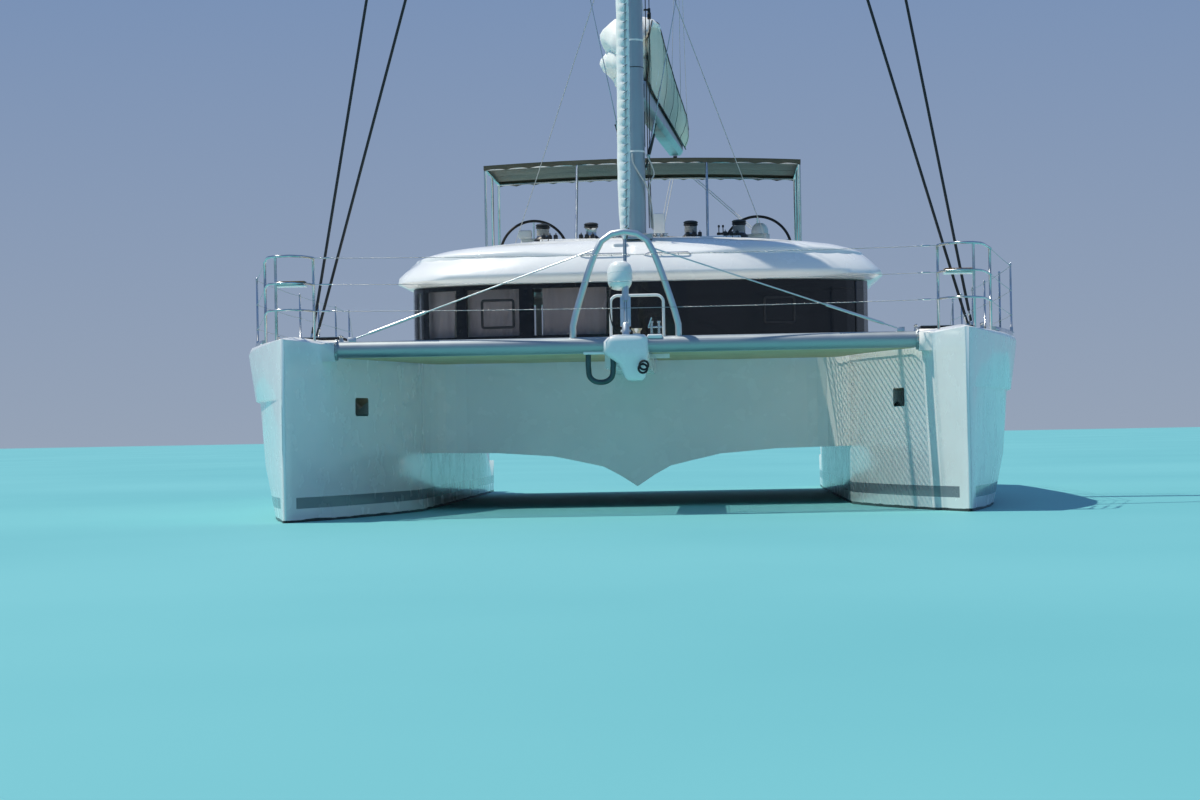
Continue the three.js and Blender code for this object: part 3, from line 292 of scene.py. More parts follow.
# %% Bars, turned pieces and rounded blocks
def curve(points, count=24):
    """A smooth path through points: a centripetal Catmull-Rom spline, sampled evenly in each span.

    In each span between B and C, with their outer neighbours A and D, the point is a blend of blends
    whose knots are spaced by the square roots of the distances.
    """
    p = np.asarray(points, float)
    p = np.concatenate([[2 * p[0] - p[1]], p, [2 * p[-1] - p[-2]]])
    gap = np.sqrt(np.linalg.norm(np.diff(p, axis=0), axis=1))
    per_span = max(2, round(count / (len(p) - 3)))
    share = np.arange(per_span)[None, :, None] / per_span
    a, b, c, d = (p[i:len(p) - 3 + i, None] for i in range(4))
    t1, t2, t3 = (gap[i:len(gap) - 2 + i, None, None] for i in range(3))
    t2, t3 = t1 + t2, t1 + t2 + t3
    t = t1 + (t2 - t1) * share
    ab, bc, cd = (a * (t1 - t) + b * t) / t1, (b * (t2 - t) + c * (t - t1)) / (t2 - t1), (
        c * (t3 - t) + d * (t - t2)) / (t3 - t2)
    abc, bcd = (ab * (t2 - t) + bc * t) / t2, (bc * (t3 - t) + cd * (t - t1)) / (t3 - t1)
    spans = (abc * (t2 - t) + bcd * (t - t1)) / (t2 - t1)
    return np.concatenate([spans.reshape(-1, 3), p[-2][None]])


def swept(path, section, lean=None, closed_path=False):
    """A section carried along a path, square to it: point = path + across * u + over * v.

    The path's direction is the difference of its neighbours. Across is square to that direction and
    to a leaning direction: by default the frame axis that the path follows least.
    """
    path = np.asarray(path, float)
    if closed_path:
        along = np.roll(path, -1, axis=0) - np.roll(path, 1, axis=0)
    else:
        along = np.gradient(path, axis=0)
    along /= np.linalg.norm(along, axis=1, keepdims=True)
    if lean is None:
        lean = np.eye(3)[np.argmin(np.abs(along).max(axis=0))]
    across = np.cross(along, lean)
    across /= np.linalg.norm(across, axis=1, keepdims=True)
    over = np.cross(across, along)
    u, v = np.moveaxis(np.broadcast_to(section, (len(path), *np.shape(section)[-2:])), -1, 0)
    grid = path[:, None] + across[:, None] * u[..., None] + over[:, None] * v[..., None]
    return rings(grid, closed_path)


def circle(radius, sides):
    """Points round a circle: (r cos a, r sin a)."""
    turn = np.arange(sides) / sides * 2 * np.pi
    return radius * np.stack([np.cos(turn), np.sin(turn)], axis=-1)


def oblong(half_u, half_v):
    """The four corners of a flat bar's section."""
    return np.array([(-1, -1), (1, -1), (1, 1), (-1, 1)]) * (half_u, half_v)


def rounded(half_u, half_v, radius, count):
    """A rounded rectangle: (u, v) = (+-half u + radius cos a, +-half v + radius sin a).

    The half sizes reach to the corners' centres, and each corner has count points.
    """
    quarter = np.linspace(0, np.pi / 2, count)
    turn = np.concatenate([quarter + k * np.pi / 2 for k in range(4)])
    return np.column_stack([np.repeat([1, -1, -1, 1], count) * half_u + radius * np.cos(turn),
                            np.repeat([1, 1, -1, -1], count) * half_v + radius * np.sin(turn)])


def bar(path, radius, sides=10, **how):
    """A round bar along a path of boat places."""
    return swept(boat(path), circle(radius, sides), **how)


def turned(profile, base, axis=(0, 0, 1), sides=24):
    """A turned piece: (radius, height) pairs round an axis that starts at a boat place.

    point = base + axis * height + (side * cos a + other * sin a) * radius. An end off the axis is
    closed by a flat face at its own height.
    """
    profile = np.asarray(profile, float)
    profile = np.concatenate([profile[:1] * (0, 1), profile, profile[-1:] * (0, 1)])
    profile = profile[np.append(True, np.any(np.diff(profile, axis=0) != 0, axis=1))]
    axis = np.asarray(axis, float) / np.linalg.norm(axis)
    side = np.cross(axis, np.eye(3)[np.argmin(np.abs(axis))])
    side /= np.linalg.norm(side)
    turn = np.arange(sides) / sides * 2 * np.pi
    ring = np.cos(turn)[:, None] * side + np.sin(turn)[:, None] * np.cross(axis, side)
    radius = np.maximum(profile[:, 0], 1e-4)
    grid = boat(base) + axis * profile[:, 1, None, None] + ring[None] * radius[:, None, None]
    return rings(grid)


def block(low, high, soft=0.01, steps=3):
    """A block with rounded edges: a small sphere's points, pushed out to the eight corners.

    point = centre + sign(normal) * (half size - soft) + normal * soft
    """
    low, high = boat(low), boat(high)
    half = (high - low) / 2
    soft = min(soft, *(half * 0.99))
    quarter = np.linspace(0, np.pi / 2, steps + 1)
    around = np.concatenate([quarter + k * np.pi / 2 for k in range(4)])
    corner = np.repeat(np.arange(4), steps + 1)
    sign_x, sign_y = np.array([1, -1, -1, 1])[corner], np.array([1, 1, -1, -1])[corner]
    tilt = np.concatenate([quarter - np.pi / 2, quarter])
    tilt[0], tilt[-1] = tilt[0] + 0.02, tilt[-1] - 0.02
    sign_z = np.repeat([-1, 1], steps + 1)
    flat = np.cos(tilt)[:, None]
    normal = xyz(flat * np.cos(around), flat * np.sin(around), np.sin(tilt)[:, None])
    signs = xyz(sign_x, sign_y, sign_z[:, None])
    return rings((low + high) / 2 + signs * (half - soft) + normal * soft)


# %% [markdown]
# ## Cords and wires
# Dozens of lines share one way of being made: a small round section swept along a path. Their
# finish needs to know how far along and how far round each spot is, so the piece gets its own map.

# %% Pieces made of cords
def corded(name, paths, radius, finish, sides=8, **how):
    """A piece of one or more cords of boat places, with a map: u in metres along, v once round.

    Point i of a cord's ring has v = i / sides; where a face joins the last point to the first, the
    first counts as v = 1.
    """
    paths = [np.asarray(path, float) for path in paths]
    radii = np.broadcast_to(radius, len(paths))
    made = piece(name, [bar(path, r, sides) for path, r in zip(paths, radii)], finish, smooth=180 / 2.2,
                 **how)
    steps = [np.linalg.norm(np.diff(path, axis=0), axis=1) for path in paths]
    along = np.repeat(np.concatenate([np.concatenate([[0], np.cumsum(step)]) for step in steps]), sides)
    mesh = made.data
    at = np.zeros(len(mesh.loops), int)
    mesh.loops.foreach_get("vertex_index", at)
    sizes = np.zeros(len(mesh.polygons), int)
    mesh.polygons.foreach_get("loop_total", sizes)
    turn = at % sides
    face = np.repeat(np.arange(len(sizes)), sizes)
    widest = np.zeros(len(sizes), int)
    np.maximum.at(widest, face, turn)
    wraps = (turn == 0) & (widest[face] == sides - 1)
    flat = np.stack([along[at], np.where(wraps, 1.0, turn / sides)], axis=-1)
    mesh.uv_layers.new(name="along_and_round").data.foreach_set("uv", flat.ravel())
    return made


def sagging(start, end, sag, count=12):
    """A line between two points that hangs a little: straight, less sag * 4 t (1 - t) in height."""
    t = np.linspace(0, 1, count)[:, None]
    return lerp(start, end, t) - 4 * sag * t * (1 - t) * np.array([0, 0, 1])


def both(paths):
    """Paths, and the same paths on the other side of the centre plane."""
    return [*paths, *(np.asarray(path, float) * (-1, 1, 1) for path in paths)]

# %% [markdown]
# ## Finishes
# Each finish starts from a real material and the way its surface was made. Colours are written as
# the hex values a paint chart would use and turned to linear light by one function. One small
# function adds a shader node and joins its inputs, so that each recipe reads as a list of steps.

# %% Colour and shader helpers
def linear(chart):
    """A hex colour as linear light: c / 12.92 below 0.04045, else ((c + 0.055) / 1.055) ** 2.4."""
    c = np.array([int(chart[i:i + 2], 16) for i in (1, 3, 5)]) / 255
    return (*np.where(c <= 0.04045, c / 12.92, ((c + 0.055) / 1.055) ** 2.4).tolist(), 1.0)


def add(tree, kind, links=None, **settings):
    """Adds a shader node. Links maps an input's name or number to a value or to another output."""
    made = tree.nodes.new(kind)
    for name, value in settings.items():
        setattr(made, name, value)
    for key, value in (links or {}).items():
        if isinstance(value, bpy.types.NodeSocket):
            tree.links.new(value, made.inputs[key])
        else:
            made.inputs[key].default_value = value
    return made


def finish(name, **sockets):
    """A new material with its plain values on the shader's own sockets; returns it and its tree."""
    made = bpy.data.materials.new(name)
    made.use_nodes = True
    shader = made.node_tree.nodes["Principled BSDF"]
    for key, value in sockets.items():
        key = key.replace("_", " ")
        shader.inputs[key].default_value = linear(value) if isinstance(value, str) else value
    return made, made.node_tree, shader


def places(tree, stretch=(1, 1, 1)):
    """Object coordinates in metres, stretched by a Mapping node."""
    spot = add(tree, "ShaderNodeTexCoord").outputs["Object"]
    return add(tree, "ShaderNodeMapping", {"Vector": spot, "Scale": stretch}).outputs["Vector"]


def noise(tree, size, where, detail=3.0):
    """Noise whose lumps are about a size in metres: scale = 1 / size."""
    how = {"Vector": where, "Scale": 1 / size, "Detail": detail, "Roughness": 0.5}
    return add(tree, "ShaderNodeTexNoise", how).outputs["Fac"]


def ramp(tree, value, low, high, to_low, to_high):
    """A value's range mapped to another range, and held there."""
    made = add(tree, "ShaderNodeMapRange", {0: value, 1: low, 2: high, 3: to_low, 4: to_high})
    return made.outputs[0]


def mixed(tree, share, first, second):
    """A colour between two: first where the share is 0, second where it is 1."""
    made = add(tree, "ShaderNodeMix", {0: share}, data_type="RGBA")
    for key, value in ((6, first), (7, second)):
        if isinstance(value, str):
            made.inputs[key].default_value = linear(value)
        else:
            tree.links.new(value, made.inputs[key])
    return made.outputs[2]


def sum_of(tree, first, second, how="ADD"):
    """Two values added, multiplied or compared."""
    return add(tree, "ShaderNodeMath", {0: first, 1: second}, operation=how).outputs[0]


def along_axis(tree, vector, axis):
    """One part of a vector: X, Y or Z."""
    return add(tree, "ShaderNodeSeparateXYZ", {0: vector}).outputs[axis]


def between(tree, value, low, high):
    """1 where a value lies between two others, else 0."""
    above, below = sum_of(tree, value, low, "GREATER_THAN"), sum_of(tree, value, high, "LESS_THAN")
    return sum_of(tree, above, below, "MULTIPLY")


def bumped(tree, shader, height, depth):
    """A relief: the height, from 0 to 1, stands for a depth in metres."""
    made = add(tree, "ShaderNodeBump", {"Height": height, "Distance": depth, "Strength": 1.0})
    tree.links.new(made.outputs["Normal"], shader.inputs["Normal"])


# %% [markdown]
# ### Moulded gelcoat
# Hulls, decks and roof are laid up in polished moulds: a hard white gloss whose reflections
# wander a little, because the mould and the laminate are never quite fair. Where crew walk, the
# mould is rough instead, for grip: that shows on every face that looks up.

# %% Gelcoat, plain and on the hulls
GLOSS = {"Roughness": 0.24, "IOR": 1.5, "Coat_Weight": 0.35, "Coat_Roughness": 0.06}


def gelcoat_recipe(name, grip=True):
    """Gelcoat with all but its colour joined; returns the colour too, for stripes and bands."""
    made, tree, shader = finish(name, **GLOSS)
    where = places(tree)
    paint = mixed(tree, ramp(tree, noise(tree, 0.7, where), 0.35, 0.65, 0, 1), "#f1f2ef", "#ecedea")
    polish = ramp(tree, noise(tree, 0.25, where), 0.3, 0.7, 0.2, 0.3)
    relief = sum_of(tree, noise(tree, 0.45, where, detail=1.0), 0.3, "MULTIPLY")
    if grip:
        normal = add(tree, "ShaderNodeNewGeometry").outputs["True Normal"]
        walked = ramp(tree, along_axis(tree, normal, "Z"), 0.96, 0.985, 0, 1)
        # the moulded grip has a diamond every 6 mm; it is drawn at 18 mm to show from a step away
        cells = {"Vector": places(tree, (1, 1, 0.05)), "Scale": 1 / 0.018}
        diamonds = add(tree, "ShaderNodeTexVoronoi", cells).outputs["Distance"]
        paint = mixed(tree, sum_of(tree, walked, 0.5, "MULTIPLY"), paint, "#dcdedb")
        polish = sum_of(tree, polish, sum_of(tree, walked, 0.35, "MULTIPLY"))
        raised = sum_of(tree, sum_of(tree, diamonds, walked, "MULTIPLY"), 1.5, "MULTIPLY")
        relief = sum_of(tree, relief, raised)
    tree.links.new(polish, shader.inputs["Roughness"])
    bumped(tree, shader, relief, 0.0005)
    return made, tree, shader, paint


def gelcoat_plain(name, grip=True):
    """Gelcoat in its own white."""
    made, tree, shader, paint = gelcoat_recipe(name, grip)
    tree.links.new(paint, shader.inputs["Base Color"])
    return made


gelcoat = gelcoat_plain("moulded_white_gelcoat")
gelcoat_smooth = gelcoat_plain("polished_white_gelcoat", grip=False)


def banded_gelcoat(low, high):
    """Gelcoat with the black primer band, between two heights, that the windows are bonded to."""
    made, tree, shader, paint = gelcoat_recipe("gelcoat_with_black_primer_band", grip=False)
    height = along_axis(tree, places(tree), "Z")
    tree.links.new(mixed(tree, between(tree, height, low, high), paint, "#15171a"),
                   shader.inputs["Base Color"])
    return made


window_band = banded_gelcoat(2.085, 2.835)

# %% [markdown]
# On the hulls the same gelcoat carries a grey boot stripe, and stops at the black antifouling, a
# soft copper paint rolled on to just above the waterline. Heights alone place both.

# %% Hull paint
PAINT_TOP = 0.03
STRIPE = (0.145, 0.265)
STRIPE_FROM = 0.22 - LENGTH / 2


def hull_paint():
    """Gelcoat, then the grey stripe, then the rolled paint up to a slightly uneven edge."""
    made, tree, shader, paint = gelcoat_recipe("hull_gelcoat_with_boot_stripe")
    height, along = (along_axis(tree, places(tree), axis) for axis in "ZY")
    stripe = sum_of(tree, between(tree, height, *STRIPE), sum_of(tree, along, STRIPE_FROM, "GREATER_THAN"),
                    "MULTIPLY")
    edge = noise(tree, 0.5, places(tree), detail=4.0)
    below = sum_of(tree, height, ramp(tree, edge, 0.3, 0.7, PAINT_TOP - 0.008, PAINT_TOP + 0.008),
                   "LESS_THAN")
    paint = mixed(tree, stripe, paint, "#7d858b")
    rolled = mixed(tree, noise(tree, 0.08, places(tree)), "#17191c", "#23262a")
    paint = mixed(tree, below, paint, rolled)
    tree.links.new(paint, shader.inputs["Base Color"])
    gloss = shader.inputs["Roughness"].links[0].from_socket
    tree.links.new(sum_of(tree, gloss, sum_of(tree, below, 0.5, "MULTIPLY")), shader.inputs["Roughness"])
    return made


hull_gelcoat = hull_paint()


def rolled_antifouling():
    """Soft copper paint put on with a roller: black, matt, with a fine stipple."""
    made, tree, shader = finish("rolled_black_antifouling", Roughness=0.82, IOR=1.45)
    where = places(tree)
    stipple = noise(tree, 0.012, where, detail=2.0)
    tree.links.new(mixed(tree, noise(tree, 0.3, where, 5.0), "#141619", "#24282c"),
                   shader.inputs["Base Color"])
    bumped(tree, shader, stipple, 0.0008)
    return made


antifouling = rolled_antifouling()

# %% [markdown]
# ### Metals
# Spars are extruded aluminium with a clear anodised skin: satin, a little blue, with the faint
# straight lines of the die along their length. Rails are bent stainless tube, polished bright but
# handled. The propellers are cast bronze, dressed with a file.

# %% Metals
def anodised_extrusion(name, chart="#a3abb0", along="z", rough=0.36):
    """Satin anodised aluminium; die lines 4 mm apart run along one axis: noise squeezed across it."""
    made, tree, shader = finish(name, Metallic=1.0)
    stretch = [1.0, 1.0, 1.0]
    stretch["xyz".index(along)] = 0.01
    lines = noise(tree, 0.004, places(tree, stretch), detail=2.0)
    patch = noise(tree, 0.35, places(tree), detail=4.0)
    tone = np.array(linear(chart)[:3])
    dull = add(tree, "ShaderNodeMix", {0: patch}, data_type="RGBA")
    dull.inputs[6].default_value = (*(tone * 0.93), 1)
    dull.inputs[7].default_value = (*np.minimum(tone * 1.06, 1), 1)
    tree.links.new(dull.outputs[2], shader.inputs["Base Color"])
    worn = sum_of(tree, ramp(tree, patch, 0.3, 0.7, rough - 0.05, rough + 0.07),
                  ramp(tree, lines, 0.3, 0.7, -0.03, 0.03))
    tree.links.new(worn, shader.inputs["Roughness"])
    bumped(tree, shader, lines, 0.0002)
    return made


def polished_metal(name, chart, rough, stain, lumps=0.04, depth=0.0001):
    """Polished tube or cast metal, its shine dulled in patches by hands and salt."""
    made, tree, shader = finish(name, Metallic=1.0)
    where = places(tree)
    patch = noise(tree, lumps * 4, where, detail=5.0)
    tree.links.new(mixed(tree, ramp(tree, patch, 0.45, 0.75, 0, 1), chart, stain),
                   shader.inputs["Base Color"])
    tree.links.new(ramp(tree, patch, 0.3, 0.8, rough, rough + 0.16), shader.inputs["Roughness"])
    bumped(tree, shader, noise(tree, lumps, where), depth)
    return made


spar_aluminium = anodised_extrusion("anodised_spar_aluminium", "#a6b1b6")
beam_aluminium = anodised_extrusion("anodised_beam_aluminium", "#a9b1b4", along="x", rough=0.5)
arch_aluminium = anodised_extrusion("anodised_arch_aluminium", "#ccd3d5", along="x", rough=0.42)
boom_aluminium = anodised_extrusion("anodised_boom_aluminium", "#9aa5ab", along="y")
stainless = polished_metal("polished_stainless_tube", "#c9cdd0", 0.14, "#b0b1ad")
# the guard loop's dark teal colour is a painted reflection of the blue-green water below it
steel_with_painted_reflection = polished_metal("steel_tube_with_painted_teal_reflection", "#4f6566", 0.38, "#43534f")
bronze = polished_metal("cast_bronze", "#a9814b", 0.32, "#6d6247", lumps=0.02, depth=0.0006)

# %% [markdown]
# ### Acrylic, rubber and plastics
# The saloon windows are smoked acrylic bonded over the frames: nearly black, very glossy, but
# cloth hung right behind them still shows. Mixing in some see-through does that, and it also lets
# the daylight reach the curtains. To port the sheet is made nearly opaque instead: painted shade for
# the dark cabin behind it.

# %% Acrylic, rubber and plastics
def smoked_acrylic_recipe(name, alpha, painted_shade_from=None):
    """Cast smoked acrylic: a mirror-smooth, dark body that lets part of the light through.

    To port of the given distance across it is made nearly opaque: painted shade for the dark cabin
    behind it, and hardly any light comes through.
    """
    made, tree, shader = finish(name, Base_Color="#0b0d0f", IOR=1.49, Alpha=alpha)
    if painted_shade_from is not None:
        to_port = along_axis(tree, places(tree), "X")
        tree.links.new(ramp(tree, to_port, painted_shade_from, painted_shade_from + 0.01, alpha, 0.94), shader.inputs["Alpha"])
    film = noise(tree, 0.5, places(tree), detail=4.0)
    tree.links.new(ramp(tree, film, 0.35, 0.75, 0.04, 0.10), shader.inputs["Roughness"])
    bumped(tree, shader, noise(tree, 0.9, places(tree), detail=0.0), 0.0015)
    return made


# to port of x = -0.36 the acrylic is nearly opaque: painted shade for the dark cabin behind it
smoked_acrylic = smoked_acrylic_recipe("smoked_acrylic_sheet_painted_dark_to_port", 0.29, painted_shade_from=-0.36)
hatch_acrylic = smoked_acrylic_recipe("smoked_hatch_acrylic", 0.93)


def moulded_plastic(name, chart, other, rough=0.5, grain=0.002, depth=0.0003):
    """Moulded plastic or rubber with a fine pebble grain: drawn at 2 mm."""
    made, tree, shader = finish(name, IOR=1.48)
    where = places(tree)
    tree.links.new(mixed(tree, noise(tree, 0.06, where, 4.0), chart, other), shader.inputs["Base Color"])
    tree.links.new(ramp(tree, noise(tree, 0.1, where), 0.3, 0.7, rough - 0.07, rough + 0.08),
                   shader.inputs["Roughness"])
    bumped(tree, shader, noise(tree, grain, where), depth)
    return made


black_rubber = moulded_plastic("black_window_rubber", "#16171a", "#212327", 0.55)
black_plastic = moulded_plastic("black_winch_plastic", "#1a1b1e", "#27292c", 0.4)
white_plastic = moulded_plastic("white_moulded_plastic", "#e8eae8", "#dcdfdd", 0.35, depth=0.0001)
wheel_leather = moulded_plastic("black_stitched_leather", "#1d1b1a", "#2b2826", 0.55, 0.004, 0.0006)

# %% [markdown]
# ### Woven cloth
# Canvas, sailcloth and cushion covers are all threads over and under each other. Waves along the
# three axes make the threads, and their sum makes the crossings. Real thread spacing is
# under a millimetre, too fine for a picture of a whole boat, so each weave is drawn as coarse as
# its comment says. Slower noise adds fading and damp.

# %% Cloth
def woven(name, chart, faded, thread=0.004, rough=0.85, sheen=0.25, depth=0.0006, glow=0.0):
    """Woven cloth: crossed waves, one thread apart, for the weave; noise for sun and salt.

    The wave node's bands lie 2 pi / 20 / scale apart.
    """
    made, tree, shader = finish(name, Roughness=rough, IOR=1.45, Sheen_Weight=sheen, Sheen_Roughness=0.5)
    where = places(tree)
    weave = None
    for axis in "XYZ":
        how = {"Vector": where, "Scale": 2 * math.pi / 20 / thread, "Distortion": 0.6, "Detail": 1.0,
               "Detail Scale": 2.0}
        threads = add(tree, "ShaderNodeTexWave", how, bands_direction=axis, wave_profile="SIN").outputs["Fac"]
        weave = threads if weave is None else sum_of(tree, weave, threads)
    sun = ramp(tree, noise(tree, 0.6, where, 5.0), 0.35, 0.68, 0, 1)
    cloth = mixed(tree, sun, chart, faded)
    dark = sum_of(tree, ramp(tree, weave, 0.6, 2.4, 0.0, 0.16), 0.08, "SUBTRACT")
    shaded = add(tree, "ShaderNodeHueSaturation", {"Color": cloth, "Value": sum_of(tree, dark, 1.0)})
    tree.links.new(shaded.outputs["Color"], shader.inputs["Base Color"])
    bumped(tree, shader, weave, depth)
    if glow:  # light that spreads inside layers of thin white cloth
        shader.inputs["Subsurface Weight"].default_value = glow
        shader.inputs["Subsurface Radius"].default_value = (1.0, 1.0, 0.95)
        shader.inputs["Subsurface Scale"].default_value = 0.05
    return made


# acrylic canvas has a thread every 0.6 mm: drawn at 6 mm
bimini_canvas = woven("woven_taupe_acrylic_canvas", "#4f4b3e", "#645f4e", thread=0.006)
bag_canvas = woven("sun_faded_bag_canvas", "#ddd9c2", "#e6e2cf", thread=0.006, sheen=0.15)
strap_webbing = woven("woven_strap_webbing", "#4a4a43", "#5d5c52", thread=0.005, sheen=0.1)
# polyester sailcloth is calendered flat and stiff, with a thread every 0.3 mm: drawn at 5 mm
sailcloth = woven("calendered_polyester_sailcloth", "#f8f7f0", "#efeee6", thread=0.005, rough=0.55,
                  sheen=0.05, depth=0.0002, glow=0.5)
cushion_cloth = woven("woven_cushion_cover", "#b4ad9d", "#a49d8c", thread=0.006)
curtain_cloth = woven("grey_pink_curtain_cloth", "#efe3e2", "#e6dcde", thread=0.006, sheen=0.1)
# the trampolines are knitted from polyester cord; a fibre every 0.5 mm is drawn at 3 mm
net_cord = woven("knitted_beige_net_cord", "#d8ccab", "#cabd99", thread=0.003, sheen=0.05)

# %% [markdown]
# ### Rope, wire and teak
# Cords and wires carry a pattern that winds round them, so their finish reads the piece's own map:
# the first number runs along the cord in metres, the second once round it. A slanted stripe in
# that map is a strand. Teak is planed in narrow boards with black rubber between them.

# %% Rope, wire and teak
STRAND = 0.06  # a strand of a 12 mm line goes round in about 60 mm


def wound(name, chart, strand_chart, metallic=0.0, rough=0.7, turns=8.0, depth=0.001):
    """Braided or laid cord: stripes along u / strand + v * turns, from the piece's own map."""
    made, tree, shader = finish(name, Metallic=metallic, Roughness=rough, IOR=1.5)
    spot = add(tree, "ShaderNodeUVMap").outputs["UV"]
    phase = sum_of(tree, sum_of(tree, along_axis(tree, spot, "X"), 1 / STRAND, "MULTIPLY"),
                   sum_of(tree, along_axis(tree, spot, "Y"), turns, "MULTIPLY"))
    ridge = sum_of(tree, sum_of(tree, phase, 2 * math.pi, "MULTIPLY"), 0.0, "SINE")
    tree.links.new(mixed(tree, ramp(tree, ridge, 0.55, 0.8, 0, 1), chart, strand_chart),
                   shader.inputs["Base Color"])
    bumped(tree, shader, ridge, depth)
    return made


white_line = wound("braided_white_line", "#d9d8d2", "#b9bab6")
black_line = wound("braided_black_line", "#232427", "#3a3b3e")
flecked_line = wound("braided_flecked_line", "#c4c2ba", "#4a5560")
strap_line = wound("braided_grey_green_lacing", "#7f8f8c", "#5c6b69")
wire_rope = wound("stranded_stainless_wire", "#a9adb0", "#8b8f92", metallic=1.0, rough=0.3, turns=6.0,
                  depth=0.0004)
wire_sleeve = moulded_plastic("black_shroud_sleeve", "#17181a", "#242527", 0.45)


def planed_teak(name, board=0.045):
    """Teak boards 45 mm wide along the boat, with 5 mm of black rubber between them."""
    made, tree, shader = finish(name, Roughness=0.6, IOR=1.45)
    across = along_axis(tree, places(tree), "X")
    share = sum_of(tree, sum_of(tree, across, 1 / board, "MULTIPLY"), 0.0, "FRACT")
    seam = sum_of(tree, share, 0.11, "LESS_THAN")
    grain = noise(tree, 0.003, places(tree, (1, 0.04, 1)), detail=3.0)
    wood = mixed(tree, ramp(tree, grain, 0.3, 0.7, 0, 1), "#9a7448", "#7c5b37")
    tree.links.new(mixed(tree, seam, wood, "#1d1c1b"), shader.inputs["Base Color"])
    bumped(tree, shader, sum_of(tree, ramp(tree, grain, 0.3, 0.7, 0.4, 0.6), seam, "SUBTRACT"), 0.0008)
    return made


teak = planed_teak("planed_teak_boards")


def studio_floor(name):
    """A pale blue-green painted studio floor, rolled, with a slow wander in its colour."""
    made, tree, shader = finish(name, Roughness=0.55)
    cloud = noise(tree, 9.0, places(tree, (1, 0.6, 1)), detail=4.0)
    tree.links.new(mixed(tree, ramp(tree, cloud, 0.35, 0.65, 0, 1), "#70bcbe", "#66b4b7"),
                   shader.inputs["Base Color"])
    return made


floor_mesh.materials.append(studio_floor("rolled_pale_blue_green_floor_paint"))
print("finishes:", len(bpy.data.materials))

# %% [markdown]
# ## The finished model's own pieces
# The model's solids are made of flat facets. Where a piece's shape is right, a copy of it is
# welded and shaded smooth over its small angles, which turns a tube of eight flats into a round
# one and leaves true corners sharp. The copy then stands for the piece.

# %% Dress the rigid pieces
def dressed(node, made_of, smooth=32, body=None):
    """A welded, smoothly shaded copy of a piece of the model, on the same body."""
    mesh = nodes[node].data.copy()
    mesh.name = f"{node}_skin"
    mended(mesh, weld=5e-5, outward=False)
    mesh.materials.clear()
    mesh.materials.append(made_of)
    mesh.shade_smooth()
    mesh.set_sharp_from_angle(angle=math.radians(smooth))
    copy = put(f"{node}_skin", mesh)
    even = copy.modifiers.new("even_shading", "WEIGHTED_NORMAL")
    even.keep_sharp = True
    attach(copy, body or nodes[node]["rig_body"])
    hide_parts(node)
    return copy


RIGID = {
    "bridgedeck": (gelcoat, 28), "crossbeam": (beam_aluminium, 32),
    "walkway": (gelcoat, 30), "striker": (arch_aluminium, 60),
    "cabin_wall": (window_band, 30), "windscreen": (smoked_acrylic, 30), "aft_bulkhead": (gelcoat_smooth, 30),
    "sliding_door": (smoked_acrylic, 30), "coachroof": (gelcoat, 34), "bimini_frame": (stainless, 60),
    "galley": (gelcoat_smooth, 30), "mast_post": (spar_aluminium, 50), "mast": (spar_aluminium, 32),
    "spreaders_lower": (spar_aluminium, 50), "spreaders_upper": (spar_aluminium, 50),
    "boom": (boom_aluminium, 32), "cockpit_table": (teak, 50),
}
RIGID_PAIRS = {
    "hull": (hull_gelcoat, 38), "keel": (antifouling, 40), "rudder": (antifouling, 40),
    "drive_leg": (antifouling, 40), "propeller": (bronze, 40), "forepeak_hatch": (hatch_acrylic, 30),
    "pulpit": (stainless, 62), "guard_rail": (stainless, 50), "side_glass": (smoked_acrylic, 30),
    "hardtop_post": (spar_aluminium, 50), "helm_console": (gelcoat_smooth, 40), "helm_wheel": (stainless, 60),
    "diamond_stay": (stainless, 60), "cap_shroud": (wire_sleeve, 60),
    "lower_shroud": (wire_sleeve, 60),
}
skins = {node: dressed(node, *how) for node, how in RIGID.items()}
for stem, how in RIGID_PAIRS.items():
    for side in SIDES:
        skins[f"{stem}_{side}"] = dressed(f"{stem}_{side}", *how)
print("dressed pieces:", len(skins))

# %% [markdown]
# ## Trampolines
# Between the crossbeam and the bridgedeck each side has a net of knitted cord, so that spray that
# comes up between the hulls falls through. It is laced tight to a bolt rope that follows the hull,
# the beam and the walkway. The net is drawn here cord by cord. The real holes are about 20 mm; they
# are drawn at 40 mm, with thicker cords, so that the net and its shadow show from ahead. Its
# outline is read from the model, and each cord runs from edge to edge.

# %% Trampolines
MESH_SIZE = 0.040
CORD_R = 0.0055
NET_INNER = 0.275  # the net's inner edge lies this far from the centre plane


def net_outline(node):
    """The net's outer edge, read from the model: its points beside the hull, going aft."""
    spots = np.array([v.co for v in nodes[node].data.vertices]) + (0, LENGTH / 2, 0)
    hull_side = spots[np.abs(spots[:, 0]) > 2.4]
    order = np.argsort(hull_side[:, 1])
    return np.abs(hull_side[order, 0]), hull_side[order, 1]


def net_cords(s):
    """Cords across and along a net, from the inner edge to the hull, and the ends beside the hull."""
    front, aft, level, inset = 1.165, 5.01, 1.784, 0.035
    edge_x, edge_dy = net_outline("trampoline_port")
    across = np.arange(front, aft, MESH_SIZE)
    ends = np.interp(across, edge_dy, edge_x) - inset
    t = np.linspace(0, 1, 9)
    paths = [xyz(NET_INNER + (end - NET_INNER) * t, dy, level) for dy, end in zip(across, ends)]
    for x in np.arange(NET_INNER, ends.max(), MESH_SIZE):
        inside = across[ends >= x]
        paths.append(xyz(x, inside.min() + (inside.max() - inside.min()) * t, level))
    return [path * (s, 1, 1) for path in paths], np.stack([ends, across], axis=-1)


def bolt_rope(s, ends):
    """The rope that the net is sewn to: all round the net, a few millimetres inside its edge."""
    hull = ends[:: max(1, len(ends) // 30)]
    loop = np.concatenate([[[0.27, 1.16]], hull, [[0.27, 5.015]], [[0.27, 3.0]], [[0.27, 1.16]]])
    return xyz(loop[:, 0] * s, loop[:, 1], 1.786)


